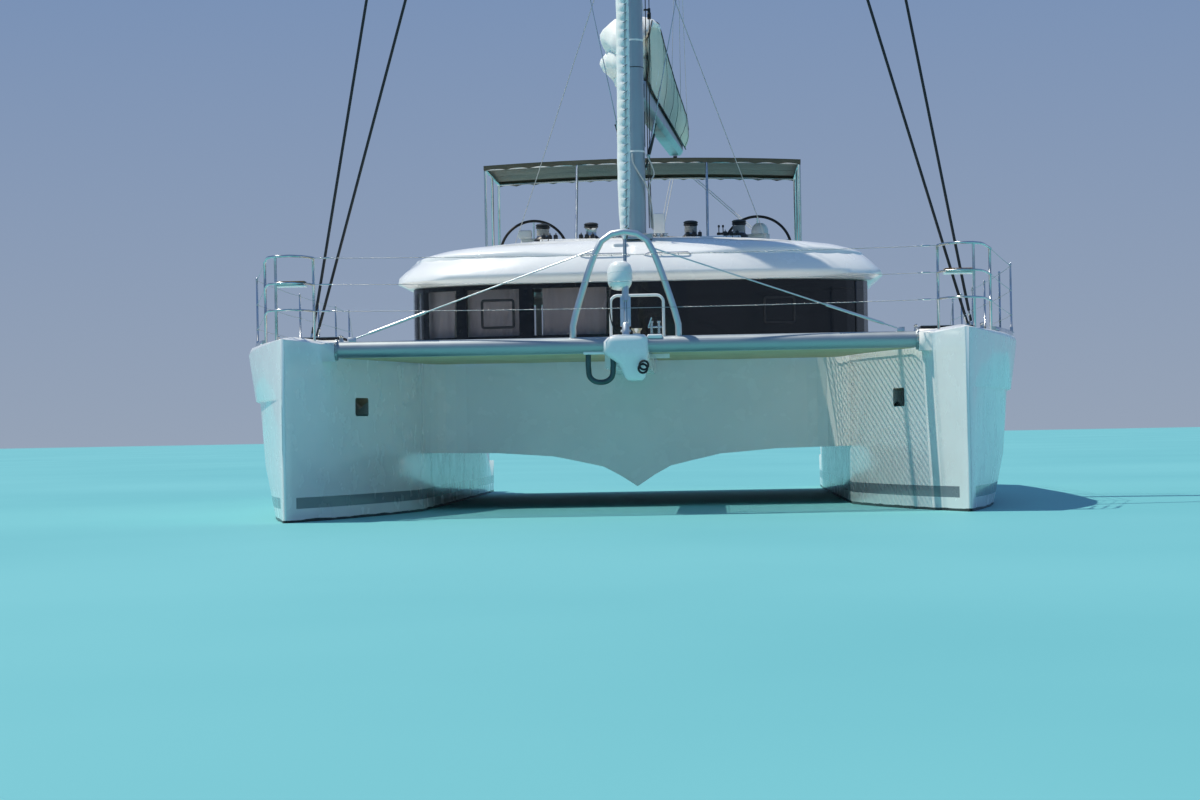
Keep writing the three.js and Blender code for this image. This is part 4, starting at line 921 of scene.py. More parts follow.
def lacing(s, ends):
    """The zigzag between the bolt rope and the boat, a turn every 90 mm along each edge."""
    def zigzag(start, end, out):
        turns = max(2, int(np.linalg.norm(np.subtract(end, start)) / 0.09))
        t = np.linspace(0, 1, 2 * turns + 1)[:, None]
        flat = lerp(start, end, t) + np.array(out) * (np.arange(2 * turns + 1) % 2)[:, None]
        return xyz(flat[:, 0] * s, flat[:, 1], 1.787)

    hull = ends[:: max(1, len(ends) // 12)]
    runs = [zigzag(a, b, (0.03, 0)) for a, b in zip(hull[:-1], hull[1:])]
    return runs + [zigzag((0.26, 1.17), (0.26, 5.0), (-0.018, 0)),
                   zigzag((0.29, 1.155), (ends[0, 0], 1.155), (0, -0.022))]


# both nets are stretched and rest on the beam, their hull and the walkway
for side, s in SIDES.items():
    cords, ends = net_cords(s)
    net = corded(f"net_{side}", cords, CORD_R, net_cord, sides=4, stands_for=[f"trampoline_{side}"])
    rope = corded(f"net_bolt_rope_{side}", [bolt_rope(s, ends)], 0.006, white_line, slot="netting")
    laces = corded(f"net_lacing_{side}", lacing(s, ends), 0.0028, white_line, sides=6, slot="netting")

# %% [markdown]
# ## Bimini
# The sunshade over the helm is acrylic canvas pulled over four bent tubes. It is sewn from panels
# across the boat, hollows a little between the tubes, and turns down in a short skirt whose aft
# edge is scalloped between its lacing eyes. One surface makes it, from two numbers: across and
# along.

# %% Bimini canopy
CANOPY_HALF, CANOPY_FRONT, CANOPY_AFT, CANOPY_Z, CROWN = 2.214, 10.504, 13.396, 4.664, 0.062
BOWS_AT = np.array([0.012, 0.345, 0.675, 0.988])  # shares of the length where a tube lies under it


def canopy_height(u):
    """The cloth's height at a share u of the half width: level + crown (1 - u^2)."""
    return CANOPY_Z + CROWN * (1 - u ** 2)


def canopy_surface(thick):
    """The canopy's cloth: height = level + crown (1 - u^2) less a hollow between tubes.

    u runs from -1 to 1 across and w from 0 to 1 aft. The hollow is 14 mm, a half sine between tubes.
    """
    u = np.linspace(-1, 1, 81)[None, :]
    w = np.linspace(0, 1, 97)[:, None]
    span = np.clip(np.interp(w, BOWS_AT, np.arange(4)) % 1.0, 0, 1)
    hollow = 0.014 * np.sin(span * np.pi) * (1 - u ** 4)
    seam = 0.0022 * np.exp(-((u[..., None] - np.array([-0.62, -0.2, 0.2, 0.62])) / 0.004) ** 2).sum(axis=-1)
    ripple = 0.0016 * np.sin(u * 9 + w * 7) * np.sin(w * 23)
    z = canopy_height(u) - hollow + seam * (thick > 0) + ripple
    return xyz(CANOPY_HALF * u, CANOPY_FRONT + (CANOPY_AFT - CANOPY_FRONT) * w, z + thick)


def shell(top, bottom):
    """A thin closed cloth from its two faces, each a grid of boat places: rows of loops round it."""
    loop = np.concatenate([top, bottom[:, ::-1]], axis=1)
    return rings(boat(loop))


canopy = piece("bimini_cloth", shell(canopy_surface(0.0025), canopy_surface(0.0)), bimini_canvas,
               stands_for=["bimini_canopy"])


def scalloped(y, drop, hang, scallops, lean):
    """A strip of skirt along an edge: its lower edge rises in an arch between the lacing eyes."""
    u = np.linspace(-1, 1, scallops * 12 + 1)
    arch = 0.022 * np.abs(np.sin(np.pi * (u + 1) / 2 * scallops))
    rows = np.linspace(0, 1, 5)[:, None]
    front = xyz(2.21 * u, y + lean * rows, canopy_height(u) + 0.002 - (hang - arch) * rows)
    return shell(front, front + (0, drop, 0))


skirts = [
    piece("bimini_skirt_front", scalloped(10.503, 0.002, 0.075, 14, 0.004), bimini_canvas),
    piece("bimini_skirt_aft", scalloped(13.396, -0.002, 0.085, 16, -0.004), bimini_canvas),
]


def side_skirt(s):
    """The skirt down one side, with six arches."""
    w = np.linspace(0, 1, 61)[:, None]
    hang = 0.055 - 0.012 * np.abs(np.sin(w * np.pi * 6))
    outer = xyz(s * 2.213, CANOPY_FRONT + (CANOPY_AFT - CANOPY_FRONT) * w,
                CANOPY_Z + 0.002 - hang * np.linspace(0, 1, 4))
    return shell(outer, outer - (0.002 * s, 0, 0))


skirts += [piece(f"bimini_skirt_{side}", side_skirt(s), bimini_canvas) for side, s in SIDES.items()]

EYES = np.linspace(-1, 1, 17) * 0.985
STITCH = np.array([(-0.012, 13.402, -0.074), (0, 13.406, -0.05), (0.012, 13.402, -0.074)])
stitches = [STITCH + (2.21 * u, 0, canopy_height(u)) for u in EYES]
canopy_lacing = corded("bimini_lacing", stitches, 0.0028, white_line, sides=6, slot="netting")

u = np.linspace(-0.97, 0.97, 41)
pockets = [xyz(CANOPY_HALF * u, 10.5 + 2.9 * share, canopy_height(u) - 0.003) for share in BOWS_AT[1:3]]
seam_tapes = piece("bimini_seam_tapes", [
    swept(boat(path), np.array([[-0.035, 0], [0.035, 0], [0.03, 0.0025], [-0.03, 0.0025]]), lean=(0, 0, 1))
    for path in pockets], bimini_canvas, smooth=25)

# %% [markdown]
# ## Furled genoa
# The headsail is rolled round its foil on the forestay, and a white sleeve of sailcloth is drawn
# over the roll against the sun. The sleeve is one long strip whose two edges are laced together
# in front, a little to port: each turn of lacing pulls a fold into the cloth. It turns with the foil.

# %% Genoa roll, sleeve and lacing
STAY_FOOT = np.array([0, 0.98, 1.975])
STAY_HEAD = np.array([0, 7.06, 25.0])
STAY_LENGTH = float(np.linalg.norm(STAY_HEAD - STAY_FOOT))
stay_axis = (STAY_HEAD - STAY_FOOT) / STAY_LENGTH
SLEEVE_FROM, SLEEVE_TO = 1.17, STAY_LENGTH - 0.56
LACING_STEP = 0.105
LACING_TURN = math.radians(-66)  # the lacing faces the bow, a little to port
to_port = np.array([1.0, 0, 0])
stay_side = np.cos(LACING_TURN) * to_port + np.sin(LACING_TURN) * np.cross(stay_axis, to_port)
stay_ahead = np.cross(stay_axis, stay_side)


def roll_radius(distance):
    """The roll's radius at a distance up the stay: thickest over the sail's wide foot."""
    at = [1.12, 1.2, 1.55, 2.25, 0.62 * STAY_LENGTH, STAY_LENGTH - 1.4, STAY_LENGTH - 0.5]
    return np.interp(distance, at, [0.030, 0.050, 0.066, 0.073, 0.073, 0.050, 0.031])


def on_stay(distance, turn, radius):
    """Boat places round the stay: foot + axis * distance + (side cos a + ahead sin a) * radius."""
    distance, turn, radius = np.broadcast_arrays(distance, turn, radius)
    ring = np.cos(turn)[..., None] * stay_side + np.sin(turn)[..., None] * stay_ahead
    return STAY_FOOT + stay_axis * distance[..., None] + ring * radius[..., None]


def sleeve_grid():
    """The sleeve: a strip round the roll, open by 0.3 rad at the lacing, with a fold at each turn.

    radius = roll (1 + slow bulges) - 13 mm exp(-(a / 0.85)^2) cos^8(pi s / step) + 1.6 mm slant wrinkles
    """
    s = np.arange(SLEEVE_FROM, SLEEVE_TO, LACING_STEP / 6)[:, None]
    a = np.linspace(0.12, 2 * np.pi - 0.12, 37) + 0.05 * np.sin(2 * np.pi * s / 0.9)
    away = np.minimum(a, 2 * np.pi - a)
    pull = np.exp(-((away / 0.85) ** 2)) * np.cos(np.pi * s / LACING_STEP) ** 8
    slow = 0.035 * np.sin(s * 2.1 + a) + 0.02 * np.sin(s * 5.3 - 2 * a)
    slant = 0.0016 * np.sin(2 * np.pi * (s / 0.31 + a / (2 * np.pi)))
    return on_stay(s, a, roll_radius(s) * (1 + slow) - 0.013 * pull + slant)


sleeve = piece("genoa_sleeve", open_cloth(sleeve_grid()), sailcloth, body="genoa",
               stands_for=["furled_genoa"], closed=False)

turns = np.arange(SLEEVE_FROM + 0.05, SLEEVE_TO - 0.05, LACING_STEP)
lace = [on_stay(np.array([s, s + 0.018, s + 0.036]), np.array([-0.34, 0.0, 0.34]),
                roll_radius(s) + np.array([0.001, 0.007, 0.001])) for s in turns]
sleeve_lacing = corded("genoa_sleeve_lacing", lace, 0.0032, strap_line, sides=5, body="genoa")


def genoa_roll():
    """The rolled sail under the sleeve, whose layers show as a spiral at both ends."""
    s = np.linspace(1.10, STAY_LENGTH - 0.50, 150)[:, None]
    a = (np.arange(20) / 20 * 2 * np.pi)[None, :]
    spiral = 1 - 0.05 * ((a / (2 * np.pi) + s / 0.9) % 1.0)
    return rings(boat(on_stay(s, a, (roll_radius(s) - 0.008) * spiral)))


roll = piece("genoa_roll", genoa_roll(), sailcloth, body="genoa")
foil_line = on_stay(np.linspace(0.77, STAY_LENGTH - 0.06, 30), 0.0, 0.0)
piece("genoa_foil", bar(foil_line, 0.0195, 16), spar_aluminium, body="genoa")
# the clew stands out of the sleeve's foot with its ring and the end of a sheet
corded("genoa_clew_webbing", [on_stay(np.linspace(1.10, 1.22, 6), 0.4, np.linspace(0.030, 0.062, 6))], 0.008,
       strap_webbing, body="genoa")

# %% [markdown]
# ## Sail bag
# The mainsail lies folded along the boom beside a long cloth panel that hangs on the boom's side.
# To port the beige panel is laced up round the sail, with a dark cord along both edges. To
# starboard it is let down, so the white folds of the sail bulge out there.

# %% Folded mainsail and its bag
BOOM_PIN = np.array([0, 7.63, 0])
BOOM_TURN = math.radians(3)  # the boom rests a little to port
BAG = np.array([
    # along the boom, half width to starboard and to port, low edge beside the boom, top
    [0.33, 0.24, 0.158, 5.50, 6.14], [0.70, 0.48, 0.18, 5.45, 6.42], [1.40, 0.60, 0.23, 5.42, 6.46],
    [3.00, 0.44, 0.215, 5.39, 6.28], [5.20, 0.33, 0.205, 5.35, 6.04], [7.20, 0.26, 0.235, 5.30, 5.78],
    [8.05, 0.19, 0.205, 5.28, 5.64],
])
BOOM_TOP = 5.512


def on_boom(points):
    """Places along the boom (across, along, up) as boat places: turned by 3 degrees at the pin."""
    x, along, up = np.moveaxis(np.asarray(points, float), -1, 0)
    c, s = np.cos(BOOM_TURN), np.sin(BOOM_TURN)
    return np.stack([x * c + along * s, -x * s + along * c, up], axis=-1) + BOOM_PIN


def bag_table(along):
    """Half widths, low edge and top of the bag at places along the boom, read from the table."""
    return [np.interp(along, BAG[:, 0], BAG[:, k]) for k in (1, 2, 3, 4)]


def bag_side():
    """The port panel: from its foot beside the boom, out round the sail and up to the port edge.

    v runs from 0 at the foot to 1 at the edge. The cloth is drawn in every 1.05 m and bellies between;
    slanted creases run from each tight place.
    """
    along = np.linspace(0.34, 8.03, 260)[:, None]
    v = np.linspace(0, 1, 36)[None, :]
    _, port, low, top = bag_table(along)
    low = low + 0.01
    height = top - 0.05 - low
    x_share = np.interp(v, [0, 0.12, 0.3, 0.55, 0.8, 1.0], [0.0, 0.12, 0.62, 0.97, 1.0, 0.86])
    z_share = np.interp(v, [0, 0.12, 0.3, 0.55, 0.8, 1.0], [0.0, 0.12, 0.30, 0.54, 0.79, 1.0])
    lace = np.abs(np.sin(np.pi * (along - 0.5) / 1.05))
    belly = 0.020 * (lace - 0.5) * np.sin(np.pi * v)
    crease = 0.007 * np.sin(2 * np.pi * (along / 0.34 + 0.8 * v)) * (1 - lace) * np.sin(np.pi * v)
    x = 0.150 + (port - 0.150) * x_share + belly + crease
    z = low + z_share * height + 0.012 * (lace - 1) * v ** 2
    return xyz(x, along, z)


def thickened(grid, inward):
    """A cloth's second face, a small step towards a line inside it."""
    step = inward - grid
    return grid + step / np.linalg.norm(step, axis=-1, keepdims=True) * 0.0025


bag_outer = bag_side()
middle = xyz(-0.4, bag_outer[..., 1], bag_outer[..., 2])
bag = piece("sail_bag_cloth", shell(on_boom(bag_outer), on_boom(thickened(bag_outer, middle))), bag_canvas,
            body="boom", stands_for=["sail_bag"])


def sail_fold(side, centre, reach, tall, phase, count=26):
    """One fold of the sail along the boom: an oval section that swells, wanders and creases.

    Centre is the fold's middle as shares (of the half width, of the height); reach and tall are its
    half sizes as such shares. Its front and aft ends are rounded off.
    """
    start, end = 0.31 + 0.03 * abs(np.sin(phase)), 8.05 - 0.10 * abs(np.cos(phase))
    along = np.linspace(start, end, 280)[:, None]
    a = (np.arange(count) / count * 2 * np.pi)[None, :]
    star, port, _, top = bag_table(along)
    wide = star if side < 0 else port
    height = top - BOOM_TOP
    swell = 1 + 0.07 * np.sin(along * 3.1 + phase) + 0.04 * np.sin(along * 7.7 - phase)
    crease = 1 + 0.035 * np.sin(4 * a + phase * 3 + along * 1.4) + 0.02 * np.sin(9 * a - along * 5)
    ends = np.sqrt(np.clip(np.minimum((along - start) / 0.16, (end - along) / 0.22), 0.01, 1))
    x = side * wide * centre[0] + np.cos(a) * wide * reach * swell * crease * ends
    z = BOOM_TOP + height * centre[1] + np.sin(a) * height * tall * swell * crease * ends
    return rings(boat(on_boom(xyz(x, along, z))))


folds = piece("mainsail_folds", [
    sail_fold(-1, (0.46, 0.72), 0.53, 0.27, 0.3), sail_fold(-1, (0.44, 0.40), 0.51, 0.24, 1.9),
    sail_fold(-1, (0.18, 0.14), 0.46, 0.12, 3.0), sail_fold(1, (0.16, 0.86), 0.62, 0.13, 0.9),
    sail_fold(1, (0.30, 0.62), 0.62, 0.20, 2.4), sail_fold(1, (0.26, 0.30), 0.56, 0.24, 3.7),
    sail_fold(-1, (0.02, 0.91), 0.44, 0.085, 5.0, 20),
], sailcloth, body="boom")

port_edge = bag_outer[:, -1] + (0.006, 0, 0.004)
edge_low = bag_outer[:, 0] + (0.007, 0, 0)
bag_cord = corded("sail_bag_edge_cord", [on_boom(port_edge[::3]), on_boom(edge_low[::3])], 0.0085,
                  black_line, body="boom", slot="bag_canvas")


def bag_laces():
    """Thin dark laces down the port panel every 1.2 m, slanted to and fro."""
    laces = []
    for k, along in enumerate(np.arange(0.66, 7.9, 1.2)):
        slant = np.linspace(0, 0.42 if k % 2 else -0.26, 18)
        rows = np.clip(np.searchsorted(bag_outer[:, 0, 1], along + slant), 0, len(bag_outer) - 1)
        laces.append(on_boom(bag_outer[rows, np.linspace(0, 35, 18).astype(int)] + (0.005, 0, 0)))
    return laces


laces = corded("sail_bag_laces", bag_laces(), 0.0032, black_line, sides=6, body="boom", slot="bag_canvas")

# %% [markdown]
# ## Curtains
# Behind the windows to starboard the curtains are drawn: three lengths of cloth hang from a track
# under the roof, gathered in soft pleats. The cabin's front is a blunt curve, so the track follows
# that curve a hand's width inside the glass, and the pleats swing to and fro across it.

# %% Curtains behind the windscreen
def cabin_front(x, inset):
    """The cabin's outline in plan at a distance across: 2.6-power ellipse, 1.5 m deep at the front.

    |x / half|^2.6 + |back / 1.5|^2.6 = 1, and dy = 8.2 - back.
    """
    half, deep = 3.0 - inset, 1.5 - inset
    share = np.clip(np.abs(np.asarray(x, float)) / half, 0, 1) ** 2.6
    return 8.2 - deep * (1 - share) ** (1 / 2.6)


CURTAINS = [("curtain_outer", -2.90, -2.38, 0.25), ("curtain_middle", -2.19, -1.40, 0.9),
            ("curtain_inner", -1.23, -0.40, 0.6)]
CURTAIN_INSET, CURTAIN_TOP, CURTAIN_HEM, PLEAT = 0.135, 2.785, 2.045, 0.12
for name, start, end, phase in CURTAINS:
    along = np.linspace(0, 1, 97)[None, :]
    down = np.linspace(0, 1, 33)[:, None]
    x = start + (end - start) * along
    # soft pleats about 120 mm apart open towards the hem: depth 6 mm at the track, 14 mm at the foot
    pleat = np.sin(2 * np.pi * ((end - start) * along / PLEAT + phase + 0.10 * np.sin(5 * down + 7 * along)))
    depth = (0.006 + 0.008 * down) * pleat
    lean = 0.018 * np.sin(2.2 * along + 3 * down + phase)
    dy = cabin_front(x, CURTAIN_INSET) + depth + 0.009 * down
    z = CURTAIN_TOP - (CURTAIN_TOP - CURTAIN_HEM) * down + 0.004 * pleat * (down > 0.97)
    cloth = xyz(x + lean * down, dy, z)
    made = piece(name, open_cloth(cloth), curtain_cloth, closed=False)

track_x = np.linspace(-2.80, -0.40, 60)
piece("curtain_track", bar(xyz(track_x, cabin_front(track_x, CURTAIN_INSET), 2.797), 0.008, 8), white_plastic)

# %% [markdown]
# ## Port frames
# Two small opening ports are set into the windscreen, each in a flat frame of black rubber. The
# frame is a flat bar carried round a rounded rectangle that follows the cabin's curve.

# %% Ports in the windscreen
def frame_on_front(x_low, x_high, z_low, z_high, corner, inset):
    """A rounded rectangle drawn on the cabin's curved front, as a closed path of boat places."""
    half = np.array([x_high - x_low, z_high - z_low]) / 2 - corner
    x, z = (rounded(*half, corner, 7) + ((x_low + x_high) / 2, (z_low + z_high) / 2)).T
    path = xyz(x, cabin_front(x, inset), z)
    # the straight sides follow the curve of the front too
    step = (np.roll(path, -1, axis=0) - path)[:, None] * np.arange(4)[:, None] / 4
    dense = (path[:, None] + step).reshape(-1, 3)
    dense[:, 1] = cabin_front(dense[:, 0], inset)
    return dense


FLAT_BAR = np.array([[-0.011, -0.004], [0.011, -0.004], [0.011, 0.002], [0.008, 0.005],
                     [-0.008, 0.005], [-0.011, 0.002]])
ports = [(-2.007, -1.596, 2.28, 2.63), (1.62, 2.00, 2.28, 2.60)]
piece("port_frames", [swept(boat(frame_on_front(*port, 0.03, -0.006)), FLAT_BAR * 1.5, lean=(0, -1, 0),
                            closed_path=True) for port in ports],
      black_rubber, slot="smoked_acrylic", smooth=35)
# a thin rubber line along the top and foot of the windows seals the glass to the cabin
edge_x = np.concatenate([-np.linspace(2.93, 0.0, 70), np.linspace(0.0, 2.93, 70)[1:]])
piece("windscreen_seals", [
    bar(xyz(edge_x, cabin_front(edge_x, -0.003), z), 0.006, 6) for z in (2.102, 2.828)
], black_rubber, slot="smoked_acrylic")

# %% [markdown]
# ## Cushions
# Seats have foam cushions in sewn covers: a crowned top, sides that pull in between the corners,
# and piping along both seams. In a full run the cover is really inflated by a cloth simulation:
# the foam's push is an even pressure, and no point may move more than a set way.

# %% Cushion shapes
OTHER_AXES = ((1, 2), (0, 2), (0, 1))
COVER_MOVE = 0.010  # the foam pushes no point of a cover further than this


def crowned(low, high, step=0.035, crown=0.016, soft=0.028, pull=0.006):
    """A cushion between two corners: a rounded block with crowned faces and drawn-in sides.

    With u and v from -1 to 1 across a face, the two large faces rise by crown (1 - u^4)(1 - v^4), and
    the others go in by pull (1 - u^4)(1 - v^4).
    """
    low, high = np.asarray(low, float), np.asarray(high, float)
    half, middle = (high - low) / 2, (high + low) / 2
    cells = np.maximum(2, np.round(2 * half / step)).astype(int)
    spread = [np.linspace(-1, 1, n + 1) * 0.65 - np.cos(np.linspace(0, np.pi, n + 1)) * 0.35 for n in cells]
    spots, faces, start = [], [], 0
    for axis, (i, j) in enumerate(OTHER_AXES):
        u, v = np.meshgrid(spread[i], spread[j], indexing="ij")
        for sign in (-1, 1):
            unit = np.zeros((*u.shape, 3))
            unit[..., i], unit[..., j], unit[..., axis] = u, v, sign
            spots.append(unit.reshape(-1, 3))
            faces.append(grid_faces(*u.shape) + start)
            start += u.size
    unit = np.concatenate(spots)
    inner = np.clip(unit * half, -(half - soft), half - soft)
    out = unit * half - inner
    length = np.linalg.norm(out, axis=1, keepdims=True)
    shaped = inner + out / np.maximum(length, 1e-9) * np.minimum(length, soft)
    for axis, (i, j) in enumerate(OTHER_AXES):
        face = np.clip((np.abs(unit[:, axis]) - 0.75) / 0.25, 0, 1) ** 2
        rise = (1 - unit[:, i] ** 4) * (1 - unit[:, j] ** 4) * (crown if axis == np.argmin(half) else -pull)
        shaped[:, axis] += np.sign(unit[:, axis]) * face * rise
    return boat(shaped + middle), faces


def inflated(mesh, cap):
    """The cover after 20 steps of cloth under pressure, no point moved further than the cap."""
    trial = put("cover_trial", mesh.copy())
    cloth = trial.modifiers.new("foam_push", "CLOTH")
    push = cloth.settings
    push.quality = 4
    push.use_pressure = True
    push.uniform_pressure_force = 4.0
    push.effector_weights.gravity = 0.0
    push.tension_stiffness = push.compression_stiffness = 25
    push.bending_stiffness = 1.0
    cloth.point_cache.frame_start, cloth.point_cache.frame_end = 1, 20
    for step in range(1, 21):
        bpy.context.scene.frame_set(step)
    settled = trial.evaluated_get(bpy.context.evaluated_depsgraph_get())
    before, after = np.zeros((2, len(mesh.vertices) * 3))
    mesh.vertices.foreach_get("co", before)
    settled.to_mesh().vertices.foreach_get("co", after)
    settled.to_mesh_clear()
    bpy.data.objects.remove(trial)
    before, move = before.reshape(-1, 3), (after - before).reshape(-1, 3)
    far = np.linalg.norm(move, axis=1, keepdims=True)
    mesh.vertices.foreach_set("co", (before + move * np.minimum(1, cap / np.maximum(far, 1e-9))).ravel())
    bpy.context.scene.frame_set(1)
    print(f"{mesh.name}: cover pushed out by up to {min(far.max(), cap) * 1000:.1f} mm")


def cushions(name, boxes, cloth, stands_for, **shape):
    """A set of cushions as one padded piece, whose covers the foam pushes out."""
    mesh = mesh_of(name, [crowned(low, high, **shape) for low, high in boxes])
    mended(mesh, weld=1e-5)
    inflated(mesh, COVER_MOVE)
    mesh.shade_smooth()
    made = put(name, mesh)
    mesh.materials.append(cloth)
    finer = made.modifiers.new("finer_cover", "SUBSURF")
    finer.levels = finer.render_levels = 1
    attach(made, "root")
    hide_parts(*stands_for)


def piping(name, boxes, cloth, axis=2):
    """A cord sewn into the two seams round each cushion, a little inside its widest outline."""
    loops, flat, soft = [], list(OTHER_AXES[axis]), 0.028
    for low, high in boxes:
        low, high = np.asarray(low, float), np.asarray(high, float)
        half, middle = (high - low) / 2, (high + low) / 2
        for level in (low[axis] + soft * 0.55, high[axis] - soft * 0.55):
            path = np.full((24, 3), level)
            path[:, flat] = middle[flat] + rounded(*(half[flat] - soft), soft * 0.96, 6)
            loops.append(swept(boat(path), circle(0.0045, 6), lean=np.eye(3)[axis], closed_path=True))
    piece(name, loops, cloth, slot="cushion")


# %% [markdown]
# ## Helm seat
# The helm seat on the flybridge is a moulded white locker across the boat, with three seat
# cushions side by side and three back cushions that lean on its backrest.

# %% Helm seat
FLY_Z = 2.951
thirds = np.linspace(-1.49, 1.49, 4)
helm_seats = [((a + 0.012, 12.775, 3.262), (b - 0.012, 13.235, 3.375)) for a, b in zip(thirds, thirds[1:])]
helm_backs = [((a + 0.02, 13.155, 3.385), (b - 0.02, 13.262, 3.712)) for a, b in zip(thirds, thirds[1:])]
piece("helm_seat_locker", [
    block((-1.5, 12.762, FLY_Z), (1.5, 13.30, 3.26), 0.03, 4),
    block((-1.5, 13.262, FLY_Z), (1.5, 13.378, 3.70), 0.03, 4),
], gelcoat_smooth)
piece("helm_seat_lids", [
    block((a + 0.03, 12.757, 3.02), (b - 0.03, 12.765, 3.22), 0.003) for a, b in zip(thirds, thirds[1:])
], white_plastic)
cushions("helm_seat_cushions", helm_seats + helm_backs, cushion_cloth, stands_for=["helm_seat"])
piping("helm_seat_piping", helm_seats, bimini_canvas)
piping("helm_back_piping", helm_backs, bimini_canvas, axis=1)

# %% [markdown]
# ## Saloon and cockpit seats
# Inside, an L of seats goes round the saloon table; outside, another L goes round the cockpit
# table. Each is a white moulded base with loose seat cushions about 700 mm long, and back cushions
# against the coaming.

# %% Saloon and cockpit seats
def seat_row(start, end, width, axis, low, high):
    """Three cushions side by side along one axis of the boat, 24 mm apart: a list of corner pairs."""
    cuts = np.linspace(start, end, 4)
    pairs = np.zeros((3, 2, 3))
    pairs[:, 0, axis], pairs[:, 1, axis] = cuts[:-1] + 0.012, cuts[1:] - 0.012
    pairs[:, :, 1 - axis], pairs[:, :, 2] = width, (low, high)
    return list(pairs)


FLOOR_Z = 1.001
saloon_seats = (seat_row(8.06, 10.39, (-2.42, -1.905), 1, 1.335, 1.445)
                + seat_row(-2.42, -0.61, (7.43, 8.04), 0, 1.335, 1.445))
saloon_backs = (seat_row(8.06, 10.39, (-2.545, -2.43), 1, 1.455, 1.895)
                + seat_row(-2.42, -0.61, (7.305, 7.42), 0, 1.455, 1.895))
piece("saloon_seat_bases", [
    block((-2.55, 7.305, FLOOR_Z), (-0.605, 8.05, 1.333), 0.02),
    block((-2.55, 8.045, FLOOR_Z), (-1.905, 10.395, 1.333), 0.02),
    block((-2.55, 7.40, FLOOR_Z), (-0.505, 10.395, 1.088), 0.01),
    block((-1.60, 8.352, 1.705), (-0.702, 9.648, 1.738), 0.012, 4),
], gelcoat_smooth)
PILLAR = [(0.19, 0), (0.19, 0.02), (0.075, 0.035), (0.06, 0.06), (0.06, 0.60), (0.11, 0.615), (0.11, 0.62)]
piece("saloon_table_pillar", turned(PILLAR, (-1.15, 9.0, 1.088)), spar_aluminium)
cushions("saloon_cushions", saloon_seats + saloon_backs, cushion_cloth, stands_for=["saloon_furniture"],
         step=0.05)

cockpit_seats = (seat_row(11.905, 13.74, (-2.395, -1.905), 1, 1.315, 1.428)
                 + seat_row(-2.395, -0.505, (13.76, 14.325), 0, 1.315, 1.428))
cockpit_backs = (seat_row(11.905, 14.32, (-2.545, -2.405), 1, 1.44, 1.855)
                 + seat_row(-2.395, -0.505, (14.335, 14.495), 0, 1.44, 1.855))
piece("cockpit_seat_bases", [
    block((-2.55, 11.902, FLOOR_Z), (-1.902, 14.495, 1.313), 0.03, 4),
    block((-2.54, 13.752, FLOOR_Z), (-0.502, 14.495, 1.313), 0.03, 4),
], gelcoat_smooth)
cushions("cockpit_cushions", cockpit_seats + cockpit_backs, cushion_cloth, stands_for=["cockpit_settee"],
         step=0.05)
piping("cockpit_piping", cockpit_seats, bimini_canvas)

# %% [markdown]
# ## Lifelines
# Three stainless wires run from pulpit to pulpit over the crossbeam, and down each side through
# the stanchions to the stern. Each wire ends in a turnbuckle on the pulpit's post, and each
# stanchion has a cap and two rings that the wires pass through.

# %% Lifelines and their ends
RAIL_Z = (2.88, 2.588, 2.296)
WIRE_DROP = 0.075  # the side wires lie this much lower than the pulpit's rails
STANCHIONS = np.array([[4.500, 4.1], [4.545, 6.1], [4.56, 8.5], [4.56, 10.5], [4.56, 12.5], [4.56, 14.2]])
INNER_POST, OUTER_POST = (HULL_X - 0.235, 0.90), (HULL_X + 0.385, 1.50)


def side_wire(z):
    """One side's wire: from the pulpit's outer post to the last stanchion, sagging 6 mm a span."""
    posts = [(*OUTER_POST, z)] + [(x, dy, z - WIRE_DROP) for x, dy in STANCHIONS]
    spans = [sagging(a, b, 0.006, 7)[:-1] for a, b in zip(posts[:-1], posts[1:])]
    return np.concatenate([*spans, posts[-1:]])


across = [sagging((-INNER_POST[0] + 0.02, 0.9, z), (INNER_POST[0] - 0.02, 0.9, z), 0.03, 25) for z in RAIL_Z]
aft_tail = sagging((*STANCHIONS[-1], RAIL_Z[0] - WIRE_DROP), (4.50, 14.66, 1.97), 0.0, 3)
corded("lifelines", across + both([side_wire(z) for z in RAIL_Z]) + both([aft_tail]), 0.0035, wire_rope,
       sides=6)


def turnbuckle(start, end, radius=0.007):
    """A bottlescrew between two points: thin ends, a thicker barrel between 30 and 75 % of it."""
    t = np.array([0, 0.05, 0.28, 0.30, 0.34, 0.72, 0.76, 0.78, 0.97, 1.0])
    r = radius * np.array([0.9, 0.6, 0.6, 1.2, 1.35, 1.35, 1.2, 0.6, 0.6, 1.0])
    axis = np.subtract(end, start)
    return turned(np.column_stack([r, t * np.linalg.norm(axis)]), start, axis, 10)


ends = [turnbuckle((INNER_POST[0] - 0.018, 0.9, z), (INNER_POST[0] - 0.22, 0.9, z)) for z in RAIL_Z]
ends += [turnbuckle((OUTER_POST[0] + 0.012, 1.515, z - 0.002),
                    lerp((*OUTER_POST, z), (4.50, 4.1, z - WIRE_DROP), 0.075)) for z in RAIL_Z]
pair("lifeline_turnbuckles", ends, stainless)

caps = [turned([(0.015, 0), (0.016, 0.012), (0.012, 0.022), (0.004, 0.026)], (x, dy, 2.812))
        for x, dy in STANCHIONS]
feet = [turned([(0.034, 0), (0.034, 0.006), (0.02, 0.012), (0.0175, 0.07), (0.0135, 0.075)],
               (x, dy, 2.008)) for x, dy in STANCHIONS]
rings_at = [turned([(0.0135, -0.007), (0.0165, -0.006), (0.0165, 0.006), (0.0135, 0.007)],
                   (x, dy, z - WIRE_DROP)) for x, dy in STANCHIONS for z in RAIL_Z[1:]]
pair("stanchion_caps_and_feet", caps + feet + rings_at, stainless)

